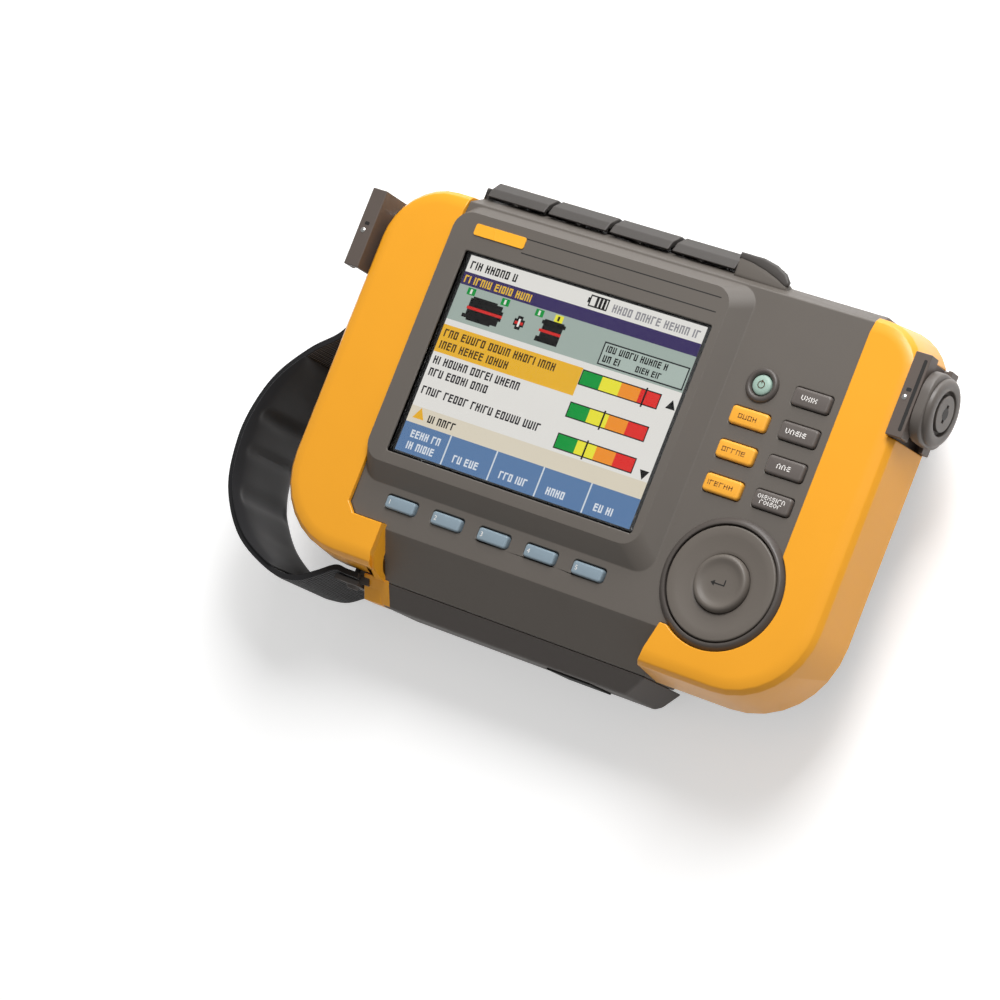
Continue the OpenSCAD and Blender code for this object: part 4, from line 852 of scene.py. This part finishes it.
def make_picture():
    """Fields of a plain measuring page: bands, bars, boxes and arrows, with bare marks for words."""
    bm = bmesh.new()
    ink = bm.faces.layers.int.new("tone_index")
    palette = []

    def paint(faces, colour):
        if colour not in palette:
            palette.append(colour)
        for face in faces:
            face[ink] = palette.index(colour)

    def field(x0, x1, y0, y1, colour, layer=0):
        made = bmesh.ops.create_grid(bm, x_segments=1, y_segments=1, size=0.5)
        bmesh.ops.scale(bm, vec=(x1 - x0, y1 - y0, 1), verts=made["verts"])
        bmesh.ops.translate(bm, vec=((x0 + x1) / 2, (y0 + y1) / 2, layer * 0.012), verts=made["verts"])
        paint(made["verts"][0].link_faces, colour)

    def words(x0, x1, y, height, colour, seed, layer=2):
        x, count = x0, 0
        for wide, bars in strokes(height, seed):
            if x + wide > x1:
                break
            for a, b, c, d in bars:
                field(x + a, x + b, y + c, y + d, colour, layer)
            x += wide + height * 0.16
            count += 1
            if count % 5 == seed % 3 + 2:
                x += height * 0.4

    def arrow(x, y, size, colour, turn=0.0):
        made = bmesh.ops.create_circle(bm, cap_ends=True, radius=size, segments=3)
        bmesh.ops.rotate(bm, cent=(0, 0, 0), matrix=Matrix.Rotation(turn, 3, "Z"), verts=made["verts"])
        bmesh.ops.translate(bm, vec=(x, y, 0.03), verts=made["verts"])
        paint(made["verts"][0].link_faces, colour)

    # Bands from side to side, and the five soft key labels
    field(-HALF_W, HALF_W, -HALF_H, HALF_H, WHITE)
    field(-HALF_W, HALF_W, 30.5, 36, PURPLE, 1)
    field(-HALF_W, HALF_W, 15, 30.5, MIST, 1)
    field(-HALF_W, 11.5, 0.5, 12.5, YELLOW, 1)
    field(-HALF_W, HALF_W, BLUE_TOP, -23.4, SAND, 1)
    field(-HALF_W, HALF_W, -HALF_H, BLUE_TOP, BLUE, 1)
    for k in range(1, 5):
        x = -HALF_W + k * SOFT_PITCH
        field(x - 0.35, x + 0.35, -HALF_H, BLUE_TOP, tone(214, 222, 230), 2)
    for seed, (x0, x1, y, height, colour) in enumerate((
            (-56, -31, 37.6, 3.4, BLACK), (14, 55.5, 37.6, 3.4, tone(150, 148, 152)),
            (-56.5, -21, 31.5, 3.2, tone(236, 190, 60)), (-56, 0, 7.4, 3.4, ON_YELLOW),
            (-56, -20, 2.2, 3.4, ON_YELLOW), (-56, -12, -4.5, 3.4, ON_WHITE), (-56, -26, -9.8, 3.4, ON_WHITE),
            (-56, 3, -17.8, 3.4, ON_WHITE), (-48, -34, -28.6, 3.2, BLACK)), 1):
        words(x0, x1, y, height, colour, seed)
    for k, reach in enumerate((8, 7, 7, 3, 2)):
        centre = (k - 2) * SOFT_PITCH
        words(centre - 7, centre + reach, -36.4 if k == 0 else -40.8, 3.2, ON_BLUE, 20 + k)
        if k == 0:
            words(centre - 7, centre + 7, -41.4, 3.2, ON_BLUE, 30)
    # Battery sign
    field(2.6, 11.6, 37.2, 42.2, BLACK, 1)
    field(3.2, 11.0, 37.8, 41.6, WHITE, 2)
    for k in range(3):
        field(5.6 + k * 1.8, 6.8 + k * 1.8, 37.8, 41.6, BLACK, 3)
    field(1.8, 2.6, 38.6, 40.8, BLACK, 1)
    # Machine sketch: motor, coupling and pump on one shaft
    for x0, x1 in ((-50.5, -33), (-26.5, -22.5), (-14.5, -4)):
        field(x0, x1, 21.4, 22.6, SHAFT_RED, 3)
    for x0, x1, y0, y1 in ((-50, -34, 18.4, 26.2), (-51.5, -34, 17.6, 19.2), (-49, -37, 16.8, 27.0),
                           (-35, -33, 20.0, 24.2), (-27, -22, 20.6, 23.6), (-25.8, -23.2, 19.2, 25),
                           (-13.5, -4, 17.2, 27), (-15, -5.5, 17.2, 19.4), (-14.5, -3, 24.8, 26.4)):
        field(x0, x1, y0, y1, BLACK, 2)
    field(-25.0, -24.0, 20.4, 23.8, tone(236, 234, 230), 4)
    for x, colour, sign in ((-53, TAG_GREEN, WHITE), (-36, TAG_GREEN, WHITE), (-19, TAG_GREEN, WHITE),
                            (-9.5, LEMON, BLACK)):
        field(x, x + 4, 27, 30, colour, 4)
        field(x + 1.4, x + 2.4, 27.5, 29.5, sign, 5)
    # Reading box
    field(16.4, 57.0, 15.8, 25.6, tone(30, 32, 36), 2)
    field(17.0, 56.4, 16.4, 25.0, tone(178, 192, 184), 3)
    words(18.2, 49, 21.5, 2.8, BLACK, 10, 4)
    words(18.2, 27, 17.3, 2.9, BLACK, 12, 4)
    words(34, 47, 17.3, 2.6, BLACK, 14, 4)
    # Level bars
    for low, mark in ((6, 42.2), (-8, 28.2), (-21.5, 25.8)):
        field(11.6, 49.4, low - 0.5, low + 6.1, BLACK, 1)
        for k, colour in enumerate(LEVELS):
            field(12.1 + k * 9.2, 21.3 + k * 9.2, low, low + 5.6, colour, 2)
        field(mark - 0.4, mark + 0.4, low - 1.4, low + 6.8, BLACK, 3)
    arrow(55.0, 8.6, 2.6, BLACK)
    arrow(54.6, -20.4, 2.6, BLACK, math.pi)
    arrow(-52.6, -26.8, 3.2, tone(240, 180, 40))
    move(bm, (0, 0, PICTURE_Z))
    mesh = bpy.data.meshes.new("screen_picture")
    bm.to_mesh(mesh)
    bm.free()
    index = mesh.attributes["tone_index"]
    colours = mesh.attributes.new("ink", "FLOAT_COLOR", "FACE")
    for k, entry in enumerate(index.data):
        colours.data[k].color = palette[entry.value]
    mesh.materials.append(PICTURE)
    obj = put("screen_picture", mesh)
    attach(obj, "case")


# ---- Studio -------------------------------------------------------------------------------------

# Strengths of the floor's own glow and of the world's light
FLOOR_GLOW, WORLD_LIGHT = 0.42, 0.34


def make_floor():
    """Pale floor that keeps the meter's shadow, lit up a little where the camera, gloss or glass sees it."""
    mesh = bpy.data.meshes.new("floor")
    bm = bmesh.new()
    bmesh.ops.create_grid(bm, x_segments=1, y_segments=1, size=4)
    bm.to_mesh(mesh)
    bm.free()
    mat, tree, shader = blank("floor_white")
    ray = add_node(tree, "LightPath").outputs
    seen = reckon(tree, "MAXIMUM", ray["Is Camera Ray"], ray["Is Glossy Ray"])
    seen = reckon(tree, "MAXIMUM", seen, ray["Is Transmission Ray"])
    feed(tree, shader, {
        "Base Color": (0.86, 0.86, 0.86, 1), "Roughness": 0.9, "Specular IOR Level": 0.1,
        "Emission Color": (1, 1, 1, 1), "Emission Strength": reckon(tree, "MULTIPLY", seen, FLOOR_GLOW)})
    mesh.materials.append(mat)
    put("floor", mesh)


def make_world():
    """Soft even light, with plain white where the camera or glass looks past the floor."""
    world = bpy.data.worlds.new("studio_world")
    world.use_nodes = True
    scene.world = world
    tree = world.node_tree
    lit = feed(tree, tree.nodes["Background"], {"Color": (1.0, 0.99, 0.975, 1), "Strength": WORLD_LIGHT})
    plain = add_node(tree, "Background", {"Color": (1, 1, 1, 1), "Strength": 1})
    ray = add_node(tree, "LightPath").outputs
    seen = reckon(tree, "MAXIMUM", ray["Is Camera Ray"], ray["Is Transmission Ray"])
    mix = add_node(tree, "MixShader", {"Fac": seen, 1: lit.outputs[0], 2: plain.outputs[0]})
    feed(tree, tree.nodes["World Output"], {"Surface": mix.outputs[0]})


def make_lamps():
    """Two softboxes aimed at the meter: one from its upper right, one low behind its port flaps."""
    for name, at, size, watts in (
            ("key_softbox", (0.2, 0.62, 0.78), 0.45, 8.5),
            ("rim_softbox", (-0.15, 1.6, 0.5), 0.9, 13.0)):
        data = bpy.data.lights.new(name, "AREA")
        data.size = size
        data.energy = watts
        toward = Vector((0.0, 0.0, 0.04)) - Vector(at)
        turn = toward.to_track_quat("-Z", "Y").to_matrix().to_4x4()
        put(name, data).matrix_world = Matrix.Translation(at) @ turn


make_shells()
make_flap_hood()
make_left_side()
make_trim()
make_keys()
make_dial()
make_power_button()
make_hub()
make_strap()
make_pad()
make_picture()
make_floor()
make_world()
make_lamps()

scene.view_settings.view_transform = "Standard"
